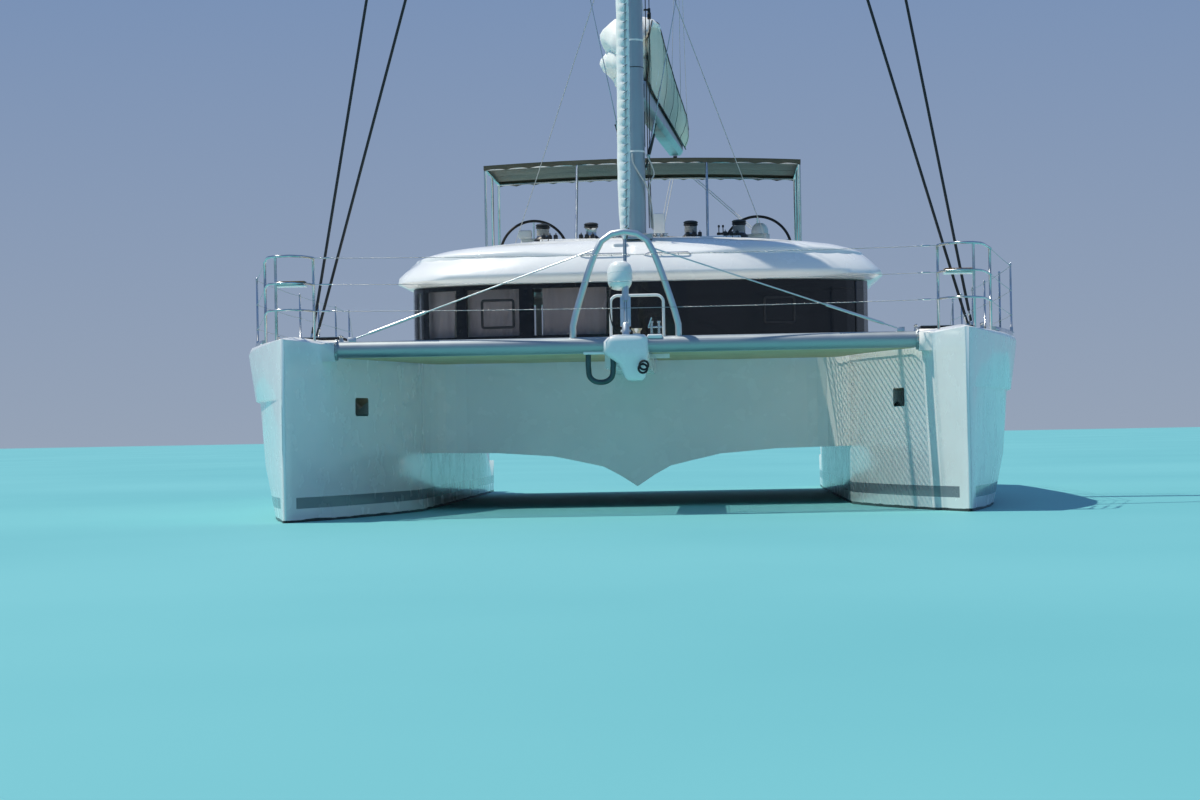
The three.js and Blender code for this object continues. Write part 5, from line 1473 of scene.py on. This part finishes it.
# %% [markdown]
# ## Shroud ends
# Each shroud is a stainless wire in a black plastic sleeve down to the height of the lifelines.
# Below that the bare wire shows, then a turnbuckle with its locking nuts, and a toggle with a pin
# through the chainplate on deck.

# %% Turnbuckles at the chainplates
def shroud_end(foot, head, bottom, top, radius):
    """A turnbuckle on a shroud between two distances from its foot, with its toggle below it."""
    axis = np.subtract(head, foot)
    lower, upper = (foot + axis * at / np.linalg.norm(axis) for at in (bottom, top))
    end = top - bottom
    profile = [(0.9, 0), (0.9, 0.03), (0.55, 0.035), (0.55, 0.09), (1.1, 0.095), (1.25, 0.115),
               (1.25, end - 0.12), (1.1, end - 0.10), (0.55, end - 0.095), (0.55, end - 0.03),
               (0.8, end - 0.02), (0.8, end)]
    return [turned(np.multiply(profile, (radius, 1)), lower, upper - lower, 14),
            block(lower - (0.014, 0.022, 0.055), lower + (0.014, 0.022, 0.005), 0.005),
            turned([(0.009, 0), (0.009, 0.07)], lower - (0.035, 0, 0.03), (1, 0, 0), 12)]


CAP_FOOT, CAP_HEAD = (4.38, 7.96, 1.97), (0.145, 7.32, 25.0)
LOW_FOOT, LOW_HEAD = (4.38, 8.24, 1.97), (0.145, 7.32, 16.5)
pair("shroud_turnbuckles", shroud_end(CAP_FOOT, CAP_HEAD, 0.075, 0.42, 0.022)
     + shroud_end(LOW_FOOT, LOW_HEAD, 0.075, 0.40, 0.020), stainless)
pair("chainplate_covers", [block((4.31, 7.88, 1.985), (4.45, 8.03, 1.998), 0.005),
                           block((4.31, 8.16, 1.985), (4.45, 8.33, 1.998), 0.005)],
     stainless)

# %% [markdown]
# ## Halyards and the lines on the roof
# Two black halyards come down the mast's port side to a block at its foot, and from there the
# lines run aft over the roof to the clutches and winches. Pale lines tied off at the mast lead to
# both sides of the roof.

# %% Running rigging that stays with the mast
halyards = [
    [(0.150, 7.42, 24.6), (0.150, 7.44, 12.0), (0.150, 7.46, 6.30), (0.146, 7.50, 4.3), (0.150, 7.52, 3.56)],
    [(0.186, 7.52, 24.0), (0.190, 7.54, 12.0), (0.196, 7.56, 6.30), (0.168, 7.58, 4.4), (0.185, 7.60, 3.56)],
]
corded("black_halyards", [curve(path, 24) for path in halyards], 0.006, black_line)
corded("white_halyards", [
    curve([(-0.150, 7.40, 24.8), (-0.152, 7.44, 14.0), (-0.150, 7.46, 6.0), (-0.150, 7.50, 3.56)], 24),
    curve([(-0.046, 7.075, 4.50), (-0.040, 7.065, 4.40), (0.004, 7.075, 4.30), (0.070, 7.105, 4.19),
           (0.138, 7.20, 4.06), (0.178, 7.34, 3.90), (0.196, 7.44, 3.70), (0.198, 7.52, 3.54)], 36),
    curve([(0.128, 7.24, 4.50), (0.190, 7.26, 4.38), (0.225, 7.28, 4.24), (0.170, 7.26, 4.12),
           (0.160, 7.34, 3.92), (0.178, 7.50, 3.56)], 30),
], 0.0095, white_line)
corded("mast_side_lines", [
    sagging((-0.14, 7.30, 7.6), (-1.60, 7.55, 3.405), 0.01, 14),
    sagging((0.14, 7.30, 7.6), (1.66, 7.55, 3.40), 0.01, 14),
], 0.005, white_line)

block_at = (0.196, 7.56, 6.30)
piece("halyard_block", [
    turned([(0.042, 0), (0.048, 0.008), (0.048, 0.014), (0.036, 0.02), (0.036, 0.028), (0.048, 0.034),
            (0.048, 0.04), (0.042, 0.048)], (block_at[0] - 0.024, block_at[1], 6.33), (1, 0, 0)),
    block((0.178, 7.535, 6.36), (0.214, 7.585, 6.43), 0.008),
    block((0.125, 7.535, 6.395), (0.19, 7.565, 6.42), 0.006),
], black_plastic)

ROPE_ENDS = np.array([-1.30, -1.22, -1.14, -0.80, -0.72, -0.64, 0.64, 0.72, 0.80, 1.14, 1.22, 1.30])
deck_lines, dark_lines = [], []
for k, x in enumerate(ROPE_ENDS):
    near = np.sign(x) * (0.16 + 0.035 * (k % 6))
    path = curve([(near, 7.62, 3.475), (near * 1.3, 7.85, 3.462), (lerp(near, x, 0.55), 8.15, 3.460),
                  (x, 8.62, 3.470), (x, 8.90, 3.550)], 20)
    (dark_lines if k % 3 == 1 else deck_lines).append(path)
corded("roof_lines_pale", deck_lines, 0.0055, flecked_line)
corded("roof_lines_dark", dark_lines, 0.0055, black_line)

# rope clutches: a bank of six to each side, with their levers
LEVER = [(0, 8.90, 3.590), (0, 8.97, 3.600), (0, 9.03, 3.592), (0, 9.055, 3.580)]
clutch_levers = [swept(boat(LEVER) + (x, 0, 0), oblong(0.012, 0.005), lean=(1, 0, 0)) for x in ROPE_ENDS]
piece("rope_clutches", [block((x - 0.026, 8.80, 3.515), (x + 0.026, 9.02, 3.580), 0.012) for x in ROPE_ENDS],
      black_plastic)
pair("clutch_plinths", block((0.59, 8.77, 3.42), (1.35, 9.05, 3.518), 0.018), gelcoat_smooth)
piece("rope_clutch_levers", clutch_levers, black_plastic, smooth=30)
# turning blocks at the mast's foot
piece("mast_foot_blocks", [
    turned([(0.040, 0), (0.040, 0.012), (0.03, 0.016), (0.03, 0.03), (0.040, 0.034), (0.040, 0.046)],
           (s * (0.17 + 0.09 * k), 7.60, 3.447)) for s in (1, -1) for k in range(3)
], stainless)

# %% [markdown]
# ## Lazy jacks and mainsheet
# Thin lines from the mast hold up both sides of the sail bag, and the mainsheet ties the boom's
# end to the roof. Both join the boat to the boom, so they are left riding on neither body.

# %% Lines between the boat and the boom
def jack_paths(s):
    """Lazy jacks on one side: one leg from the mast, and three legs to the bag's edge."""
    top = np.array([0.20 * s, 7.50, 14.0])
    knot = np.array([0.42 * s + 0.15, 10.4, 9.1])
    feet = [(2.2, 0.33, 5.62), (4.8, 0.29, 5.56), (7.2, 0.24, 5.44)]
    foot = [on_boom((s * (0.128 if s < 0 else half), along, 5.42 if s < 0 else z)) for along, half, z in feet]
    return [sagging(top, knot, 0, 6)] + [sagging(knot, end, 0.0, 14) for end in foot]


jacks = corded("lazy_jacks", jack_paths(1) + jack_paths(-1), 0.0035, white_line, sides=6, body=None)
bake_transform(jacks)

BOOM_END = on_boom(np.array([0.0, 7.85, 5.150]))
SHEET_FEET = [np.array([0.12, 13.93, 3.47]), np.array([2.02, 13.75, 3.45])]
falls = [sagging(foot + (off, 0, 0.055), BOOM_END + (off, 0, -0.06), 0.0, 16)
         for foot in SHEET_FEET for off in (-0.022, 0.022)]
sheet_falls = corded("mainsheet", falls, 0.006, white_line, sides=6, body=None)
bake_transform(sheet_falls)


def sheave_block(at, axis):
    """A pulley block: two cheeks and a grooved wheel, with its axle along an axis."""
    r, w = 0.042, 0.0399
    return turned([(r, -w / 2), (r, -w / 4), (r * 0.8, -w / 6), (r * 0.8, w / 6), (r, w / 4), (r, w / 2)],
                  at, axis, 20)


piece("mainsheet_roof_blocks", [sheave_block(foot + (0, 0, 0.045), (0.3, 1, 0)) for foot in SHEET_FEET]
      + [block(foot - (0.035, 0.035, 0.03), foot + (0.035, 0.035, 0.006), 0.006) for foot in SHEET_FEET],
      black_plastic)
piece("mainsheet_boom_blocks", [sheave_block(BOOM_END + (s * 0.024, 0, -0.045), (1, 0.3, 0)) for s in (-1, 1)]
      + [block(BOOM_END - (0.03, 0.012, 0.012), BOOM_END + (0.03, 0.012, 0.028), 0.005)],
      black_plastic, body="boom")

# %% [markdown]
# ## Pulpits, cleats and hatches
# On each bow a slatted seat is clipped over the pulpit's middle rail. Mooring cleats stand on
# raised pads at the bows, amidships and aft. The flush deck hatches are smoked acrylic in an
# aluminium frame with two handles each.

# %% Bow seats, cleats and hatches
seats = [block((HULL_X - 0.188, dy, 2.596), (HULL_X + 0.13, dy + 0.065, 2.612), 0.005)
         for dy in (0.455, 0.533, 0.611)]
pair("bow_seat_slats", seats, teak)
pair("bow_seat_pan", block((HULL_X - 0.20, 0.445, 2.552), (HULL_X + 0.14, 0.690, 2.569), 0.006),
     gelcoat_smooth)


def cleat(at):
    """A mooring cleat 320 mm long: two stems on a base, and a horn swept along its length."""
    at = np.array(at, float)
    t = np.linspace(-1, 1, 15)[:, None]
    horn = at + (0, 0, 0.068) + t * (0, 0.16, 0) + t ** 2 * (0, 0, 0.012)
    section = circle(0.015, 10) * np.sqrt(np.clip(1.12 - t ** 4, 0, 1))[:, None]
    stems = [turned([(0.03, 0), (0.022, 0.012), (0.014, 0.035), (0.016, 0.062)], at + (0, 0.0608 * k, 0),
                    (0, 0, 1), 14) for k in (-1, 1)]
    base = block(at - (0.034, 0.1332, 0.002), at + (0.034, 0.1332, 0.008), 0.004)
    return [swept(boat(horn), section), *stems, base]


def deck_edge_height(x, dy):
    """Deck height on the port hull: the edge's height plus the crown's straight rise inboard."""
    edge = np.interp(dy, [0, 1, 3, 4.3, LENGTH], [1.965, 1.960, 1.955, 1.95, 1.95])
    if x > HULL_X:
        half = np.interp(dy, [1, 2, 3, 4.3, 6.5, 8.7, 13, 15],
                         [0.375, 0.635, 0.80, 0.922, 1.015, 1.058, 1.065, 1.04])
    else:
        half = np.interp(dy, [1, 2, 3, 4.3], [0.37, 0.625, 0.845, 1.066])
    return edge + 0.06 * np.clip(1 - abs(x - HULL_X) / (half - 0.08), 0, 1)


CLEATS = [(3.98, 2.05), (3.22, 1.75), (4.40, 7.30), (4.40, 11.6), (4.38, 13.95), (3.05, 14.2)]
pair("mooring_cleats", [part for x, dy in CLEATS for part in cleat((x, dy, deck_edge_height(x, dy) + 0.004))],
     stainless)


def flush_hatch(x, dy, half_x, half_y, z):
    """A flush hatch: a raised frame with a rounded outline, and its acrylic lid and handles."""
    def stacked(*outlines, **how):
        return rings(boat(np.stack([
            xyz(*(rounded(half_x - 0.06, half_y - 0.06, 0.06 + grow, 6) + (x, dy)).T, z + up)
            for grow, up in outlines])), **how)

    frame = stacked((0.03, -0.012), (0.03, 0.006), (0.018, 0.013), (0, 0.013), (0, -0.012), closed_path=True)
    lid = stacked((-0.004, -0.008), (-0.004, 0.010), (-0.012, 0.014))
    grips = [np.array((x + k * half_x * 0.5, dy + half_y * 0.78, z)) for k in (-1, 1)]
    handles = [block(at + (-0.018, -0.018, 0.012), at + (0.018, 0.018, 0.022), 0.005) for at in grips]
    return frame, lid, handles


HATCHES = [(3.62, 5.75, 0.26, 0.26), (3.55, 8.15, 0.22, 0.26), (3.55, 10.75, 0.26, 0.26),
           (3.62, 13.35, 0.24, 0.24)]
made_hatches = [flush_hatch(x, dy, hx, hy, deck_edge_height(x, dy) + 0.004) for x, dy, hx, hy in HATCHES]
pair("deck_hatch_frames", [frame for frame, _, _ in made_hatches], spar_aluminium)
pair("deck_hatch_lids", [lid for _, lid, _ in made_hatches], hatch_acrylic)
pair("deck_hatch_handles", [h for _, _, handles in made_hatches for h in handles], black_plastic)

# each forepeak lid has a raised rim, and two handles aft
for side, s in SIDES.items():
    handles = [block((x - 0.03, 3.255, 2.062), (x + 0.03, 3.285, 2.078), 0.006)
               for x in (HULL_X - 0.18, HULL_X + 0.18)]
    section = ((0.306, 2.0635), (0.306, 2.070), (0.270, 2.070), (0.270, 2.0635))
    outlines = [xyz(*((HULL_X, 3.0) + oblong(half, half)[::-1]).T, z) for half, z in section]
    shape = joined([*handles, rings(boat(np.stack(outlines)), closed_path=True)])
    piece(f"forepeak_lid_fittings_{side}", shape if s > 0 else flipped(shape), spar_aluminium,
          body=f"forepeak_hatch_{side}")

# %% [markdown]
# ## Windlass and foredeck
# The walkway between the nets carries the anchor windlass: a drum and a chain wheel on a housing,
# with two deck switches abaft it. Slatted grip panels lie along the walkway.

# %% Windlass and walkway
WALK_TOP = 1.791
corner = np.linspace(0, np.pi / 2, 8)[:, None]
left_corner = (-0.106, 1.76, 2.36) + 0.08 * np.column_stack([-np.cos(corner), 0 * corner, np.sin(corner)])
hoop = np.concatenate([[(-0.186, 1.76, WALK_TOP - 0.002)], left_corner,
                       (0.22, 0, 0) + left_corner[::-1] * (-1, 1, 1),
                       [(0.406, 1.76, WALK_TOP - 0.002)]])
piece("walkway_hoop", [bar(hoop, 0.0165, 14)] + [
    turned([(0.036, 0), (0.036, 0.006), (0.018, 0.010), (0.018, 0.03)], (x, 1.76, WALK_TOP))
    for x in (-0.186, 0.406)
], gelcoat_smooth, stands_for=["windlass_hoop"], slot="stainless")
piece("windlass_body", [
    block((-0.02, 2.46, WALK_TOP), (0.18, 2.72, WALK_TOP + 0.10), 0.03, 4),
    turned([(0.085, 0), (0.085, 0.03), (0.07, 0.045), (0.07, 0.09)], (0.08, 2.59, WALK_TOP + 0.10)),
], spar_aluminium)
DRUM = [(0.062, 0), (0.05, 0.018), (0.042, 0.05), (0.044, 0.085), (0.062, 0.105), (0.064, 0.115)]
CHAIN_WHEEL = [(0.072, 0), (0.058, 0.012), (0.058, 0.028), (0.072, 0.04)]
piece("windlass_drum", [turned(DRUM, (0.08, 2.59, WALK_TOP + 0.19)),
                        turned(CHAIN_WHEEL, (-0.022, 2.59, WALK_TOP + 0.055), (-1, 0, 0))], stainless)
SWITCH = [(0.04, 0), (0.04, 0.008), (0.03, 0.016), (0, 0.018)]
piece("windlass_switches", [turned(SWITCH, (x, 2.90, WALK_TOP)) for x in (-0.10, -0.01)], black_rubber,
      smooth=50)
slats = [block((-0.19, 3.10 + 0.11 * k, WALK_TOP - 0.001), (0.19, 3.19 + 0.11 * k, WALK_TOP + 0.006),
               0.003, 2) for k in range(16)]
piece("walkway_grip_slats", slats, teak)

# %% [markdown]
# ## Crossbeam fitting and furler
# The middle of the crossbeam sits in a rounded white casting that tapers to a foot. The forestay
# stands on it: two link plates, and above them the furler's smooth white case. A metal guard loop
# hangs under the beam beside it. Rounded sections, stacked and joined, make the casting.

# %% Beam fitting, forestay foot and furler case
def rounded_tower(levels, aft, power):
    """Super-ellipse sections (height, centre x, half x, half y): x = half cos a |cos a|^(2 / power - 1)."""
    unit = circle(1.0, 40)
    unit = np.sign(unit) * np.abs(unit) ** (2 / power)
    z, x, *half = np.asarray(levels, float).T[..., None]
    return rings(boat(xyz(x + unit[:, 0] * half[0], aft + unit[:, 1] * half[1], z)))


fitting_levels = [(1.470, 0.100, 0.050, 0.050), (1.478, 0.098, 0.090, 0.085), (1.51, 0.095, 0.118, 0.108),
                  (1.58, 0.088, 0.138, 0.125), (1.66, 0.072, 0.162, 0.142), (1.71, 0.040, 0.200, 0.160),
                  (1.755, 0.012, 0.238, 0.170), (1.79, 0.0, 0.250, 0.172), (1.90, 0.0, 0.248, 0.170),
                  (1.945, 0.018, 0.222, 0.165), (1.975, 0.030, 0.175, 0.135)]
piece("beam_fitting_casting", [
    rounded_tower(fitting_levels, 1.01, 5.0),
    block((-0.47, 0.95, 1.765), (-0.20, 1.02, 1.80), 0.012),
    block((0.235, 0.93, 1.93), (0.40, 1.07, 1.975), 0.015),
], gelcoat_smooth, stands_for=["beam_fitting"])
guard = curve([(-0.415, 0.985, 1.785), (-0.415, 0.985, 1.62), (-0.400, 0.985, 1.52), (-0.335, 0.985, 1.468),
               (-0.225, 0.985, 1.468), (-0.160, 0.985, 1.52), (-0.145, 0.985, 1.62), (-0.145, 0.985, 1.74)],
               40)
# its dark teal colour is a painted reflection of the water below the beam
piece("beam_guard_loop", bar(guard, 0.030, 16), steel_with_painted_reflection)


def hoop_path(centre, radius, axes, count=24):
    """A circle of boat places round a centre in the plane of two frame axes."""
    path = np.tile(np.asarray(centre, float), (count, 1))
    path[:, list(axes)] += circle(radius, count)
    return path


piece("beam_snubber_rings", [
    bar(hoop_path((0.185 + 0.012 * k, 0.825 - 0.02 * k, 1.60 + 0.035 * k), 0.048, (0, 2)), 0.012, 8,
        closed_path=True) for k in range(2)], black_rubber)
BITT = [(0.03, 0), (0.03, 0.006), (0.014, 0.012), (0.013, 0.13), (0.02, 0.136), (0.02, 0.15)]
piece("beam_bitt", [turned(BITT, (x, 1.0, 1.972)) for x in (0.285, 0.365)] + [
    bar([(0.245, 1.0, 2.055), (0.405, 1.0, 2.055)], 0.010),
    bar([(0.25, 1.0, 2.06), (0.285, 0.99, 2.16)], 0.008),
], stainless)

case = [(0, 0.548), (0.070, 0.550), (0.108, 0.566), (0.130, 0.605), (0.138, 0.665), (0.1385, 0.700),
        (0.1345, 0.704), (0.1385, 0.708), (0.137, 0.760), (0.122, 0.815), (0.092, 0.846), (0.050, 0.860),
        (0, 0.861)]
piece("furler_case", turned(case, STAY_FOOT + (-0.060, 0.02, -0.018), stay_axis, 40), gelcoat_smooth,
      stands_for=["forestay"])
foot_profile = [(0.040, -0.02), (0.040, 0.12), (0.030, 0.135), (0.016, 0.14), (0.016, 0.38), (0.038, 0.385),
                (0.038, 0.56)]
piece("forestay_foot", [
    turned(foot_profile, STAY_FOOT, stay_axis),
    *[block((x - 0.006, 0.99, 1.955), (x + 0.006, 1.05, 2.13), 0.004) for x in (-0.034, 0.034)],
    *[turned([(0.013, 0), (0.013, 0.11)], (-0.055, 1.02 + 0.26 * (z - 1.975), z), (1, 0, 0), 12)
      for z in (2.02, 2.10, 2.36)],
    *[swept(boat([(x, 1.01, 2.07), (x, 1.08, 2.40)]), oblong(0.009, 0.02), lean=(1, 0, 0))
      for x in (-0.037, 0.037)],
], arch_aluminium)
corded("furler_cable", [curve([(-0.150, 1.12, 2.54), (-0.172, 1.05, 2.40), (-0.165, 0.99, 2.18),
                               (-0.125, 0.95, 2.04), (-0.085, 0.96, 1.972)], 24)], 0.007, black_line)

# %% [markdown]
# ## Coachroof mouldings
# The roof is moulded with a soft step round its crown, which catches shade on the side away from
# the sun. The roof's outline at each height is a table, so the step is a small section carried
# round that outline. Two low rails and a white lamp box are fixed ahead of the mast.

# %% Roof step, rails and lamp box
ROOF = np.array([
    # height, half width, front
    [2.840, 3.060, 6.620], [2.905, 3.190, 6.530], [2.970, 3.180, 6.550], [3.080, 3.070, 6.620],
    [3.190, 2.945, 6.720], [3.270, 2.740, 6.830], [3.330, 2.500, 6.940], [3.380, 2.160, 7.080],
    [3.415, 1.830, 7.260], [3.440, 1.400, 7.520],
])


def roof_line(height, run):
    """The roof's outline at a height; run goes from -1 (starboard, aft) through 0 (bow) to 1 (port, aft).

    The first 0.6 of each side is the curved front, x = half sin^(2/2.6) t and
    dy = front + 1.5 (1 - cos^(2/2.6) t); the rest runs straight aft.
    """
    half, front = (np.interp(height, ROOF[:, 0], ROOF[:, k]) for k in (1, 2))
    t = np.clip(np.abs(run) / 0.6, 0, 1) * np.pi / 2
    x = np.sign(run) * half * np.sin(t) ** (2 / 2.6)
    aft = np.clip((np.abs(run) - 0.6) / 0.4, 0, 1) * 4.9
    return xyz(x, front + 1.5 * (1 - np.cos(t) ** (2 / 2.6)) + aft, height)


run = np.sign(np.linspace(-1, 1, 181)) * np.abs(np.linspace(-1, 1, 181)) ** 1.15
STEP = [(3.165, -0.030), (3.180, 0.002), (3.184, 0.026), (3.190, 0.046), (3.204, 0.055), (3.235, 0.056),
        (3.290, 0.040), (3.350, 0.012), (3.385, -0.012), (3.33, -0.04), (3.24, -0.04)]
fade = np.clip((np.abs(run) - 0.04) / 0.12, 0.0, 1.0) * np.clip((0.62 - np.abs(run)) / 0.30, 0.0, 1.0)
lifts = [np.outer(np.where(lift > 0, fade, 1.0), (0, 0, lift)) for _, lift in STEP]
step_rings = np.stack([roof_line(z, run) + lift for (z, _), lift in zip(STEP, lifts)], axis=1)
piece("roof_step", rings(boat(step_rings)), gelcoat_smooth, smooth=60)

rails = []
for start, end in ((-0.0607, -0.004), (0.004, 0.057)):
    line = roof_line(3.168, np.linspace(start, end, 14)) + (0, -0.014, 0.024)
    line[[0, -1]] += (0, 0.014, -0.028)
    rails.append(bar(line, 0.009, 8))
    rails += [bar([line[k] + (0, 0.016, -0.03), line[k]], 0.007, 8) for k in (4, 9)]
piece("roof_front_rails", rails, stainless)
piece("roof_lamp_box", block((-0.305, 6.86, 3.205), (-0.115, 7.02, 3.335), 0.022, 4), white_plastic)

# %% [markdown]
# ## Winches
# Each winch has a flared black base, a steel drum and a black self-tailing head with a groove for
# the line. Three of the four carry several turns of pale line: a helix round the drum.

# %% Winches and the turns on them
SEAT_Z = 3.512
WINCH_BASE = [(0.125, 0), (0.122, 0.03), (0.092, 0.055), (0.082, 0.070)]
WINCH_DRUM = [(0.078, 0.065), (0.072, 0.09), (0.071, 0.15), (0.078, 0.172)]
WINCH_HEAD = [(0.04, 0.170), (0.080, 0.170), (0.098, 0.186), (0.098, 0.198), (0.086, 0.206), (0.098, 0.214),
              (0.098, 0.228), (0.078, 0.242), (0.034, 0.250)]
t = np.linspace(0, 6, 121)
helix = xyz(0.0785 * np.cos(2 * np.pi * t), 0.0785 * np.sin(2 * np.pi * t), 0.077 + 0.0145 * t)
for side, s in SIDES.items():
    spots = [(s * x, 9.25, SEAT_Z) for x in (1.33, 0.675)]
    black = [turned(part, at, sides=32) for at in spots for part in (WINCH_BASE, WINCH_HEAD)]
    piece(f"winch_heads_{side}", black, black_plastic, stands_for=[f"winches_{side}"], slot="stainless")
    piece(f"winch_drums_{side}", [turned(WINCH_DRUM, at, sides=32) for at in spots], stainless)
    corded(f"winch_turns_{side}", [at + helix for at in spots[:2 if s > 0 else 1]], 0.0072, flecked_line)
    low, high = sorted((s * 0.53, s * 1.475))
    piece(f"winch_plinth_{side}", block((low, 9.105, 3.40), (high, 9.395, SEAT_Z), 0.02, 4), gelcoat_smooth)

# %% [markdown]
# ## Helm stations
# The steering wheels are steel with a stitched black leather cover on the rim. A compass dome, a
# hinged instrument box and engine levers stand on the consoles.

# %% Wheel rims and console gear
for side, s in SIDES.items():
    rim = hoop_path((s * 1.615, 12.12, 3.5), 0.49, (0, 2), 72)
    piece(f"wheel_rim_leather_{side}", bar(rim, 0.0195, 12, closed_path=True), wheel_leather,
          body=f"helm_wheel_{side}")
DOME = [(0.118, 0), (0.122, 0.03), (0.116, 0.07), (0.095, 0.115), (0.055, 0.148), (0, 0.158)]
piece("helm_compass_dome", turned(DOME, (1.645, 11.76, 3.718)), white_plastic)
piece("helm_instrument_box", block((-1.815, 11.66, 3.716), (-1.625, 11.82, 3.83), 0.02), white_plastic)
piece("flybridge_panel", [
    block((0.147, 10.47, 3.63), (0.308, 10.52, 3.95), 0.012),
    turned([(0.045, 0), (0.045, 0.006), (0.018, 0.015), (0.018, 0.72)], (0.2275, 10.5, 2.951))],
    white_plastic)
KNOB = [(0, -0.02), (0.014, -0.016), (0.017, 0), (0.014, 0.016), (0, 0.02)]
levers = [part for x in (1.06, 1.12) for part in (
    block((x - 0.03, 11.70, 3.716), (x + 0.03, 11.86, 3.745), 0.01),
    bar([(x, 11.78, 3.74), (x, 11.74, 3.83)], 0.007),
    turned(KNOB, (x, 11.738, 3.835), sides=14))]
piece("engine_levers", levers, black_plastic)

# %% [markdown]
# ## Mast fittings
# A mast is dressed with the track that the sail's slides run in, painted bands, plastic exits
# where halyards leave the section, and bottlescrews at the foot of the diamond stays.

# %% Mast fittings
def mast_band(z, tall):
    """A band round the mast: its oval section, 115 by 200 mm, 3 mm larger, over a height."""
    levels = ((z, -0.01), (z, 0.003), (z + tall, 0.003), (z + tall, -0.01))
    ovals = [circle(1.0, 48) * (0.115 + grow, 0.200 + grow) + (0, 7.3) for _, grow in levels]
    return rings(boat(np.stack([xyz(*oval.T, height) for oval, (height, _) in zip(ovals, levels)])))


piece("mast_white_bands", [mast_band(z, 0.022) for z in (4.52, 5.96)], white_plastic)
piece("mast_dark_bands", [mast_band(5.615, 0.010)] + [
    block((0.092, 7.30, z), (0.121, 7.38, z + tall), 0.006) for z, tall in ((4.60, 0.46), (5.24, 0.18))
], black_plastic)
piece("mast_track", block((-0.016, 7.490, 5.85), (0.016, 7.512, 24.4), 0.004, 1), arch_aluminium)
pair("diamond_turnbuckles", turnbuckle((0.124, 7.3, 4.33), (0.262, 7.33, 4.90), 0.018), wire_sleeve)
piece("masthead_gear", [
    turned([(0.03, 0), (0.03, 0.05), (0.022, 0.075), (0, 0.08)], (0.0, 7.34, 28.215), sides=14),
    bar([(0.03, 7.05, 28.20), (0.03, 6.98, 28.48)], 0.006, 6),
    block((0.022, 6.84, 28.475), (0.038, 7.14, 28.487), 0.003),
], black_plastic)

# %% [markdown]
# ## Hull windows
# Small square ports look inboard near the bows, and long dark windows outboard light the cabins.
# The hull is curved, so four rays find where a pane's corners meet it, and the pane is a rounded
# outline spread between them: a bilinear blend of the corners.

# %% Panes set on the hull
hull_mesh = nodes["hull_port"].data
hull_tree = BVHTree.FromPolygons([tuple(v.co) for v in hull_mesh.vertices],
                                 [tuple(p.vertices) for p in hull_mesh.polygons])


def hull_pane(low, high, outboard):
    """A pane on the port hull between two (aft, up) corners: bilinear blend of four found corners."""
    out, corner = np.array([1.0 if outboard else -1.0, 0, 0]), 0.16
    a, b, c, d = (np.array(hull_tree.ray_cast((boat((HULL_X, dy, z)) + 3 * out).tolist(), (-out).tolist())[0])
                  for dy, z in (low, (high[0], low[1]), high, (low[0], high[1])))
    tall = (high[1] - low[1]) / (high[0] - low[0])
    u, v = (0.5 + rounded(0.5 / tall - corner, 0.5 - corner, corner, 7) * (tall, 1)).T[..., None]
    flat = a * (1 - u) * (1 - v) + b * u * (1 - v) + c * u * v + d * (1 - u) * v
    edge = lerp(flat.mean(axis=0), flat, 0.97)
    return rings(np.stack([flat - out * 0.02, flat + out * 0.003, edge + out * 0.006]))


pair("hull_panes", [hull_pane((1.80, 1.145), (2.22, 1.350), False),
                    hull_pane((5.70, 1.45), (7.30, 1.69), True), hull_pane((7.75, 1.45), (9.35, 1.69), True),
                    hull_pane((10.9, 1.45), (12.5, 1.69), True)], hatch_acrylic)
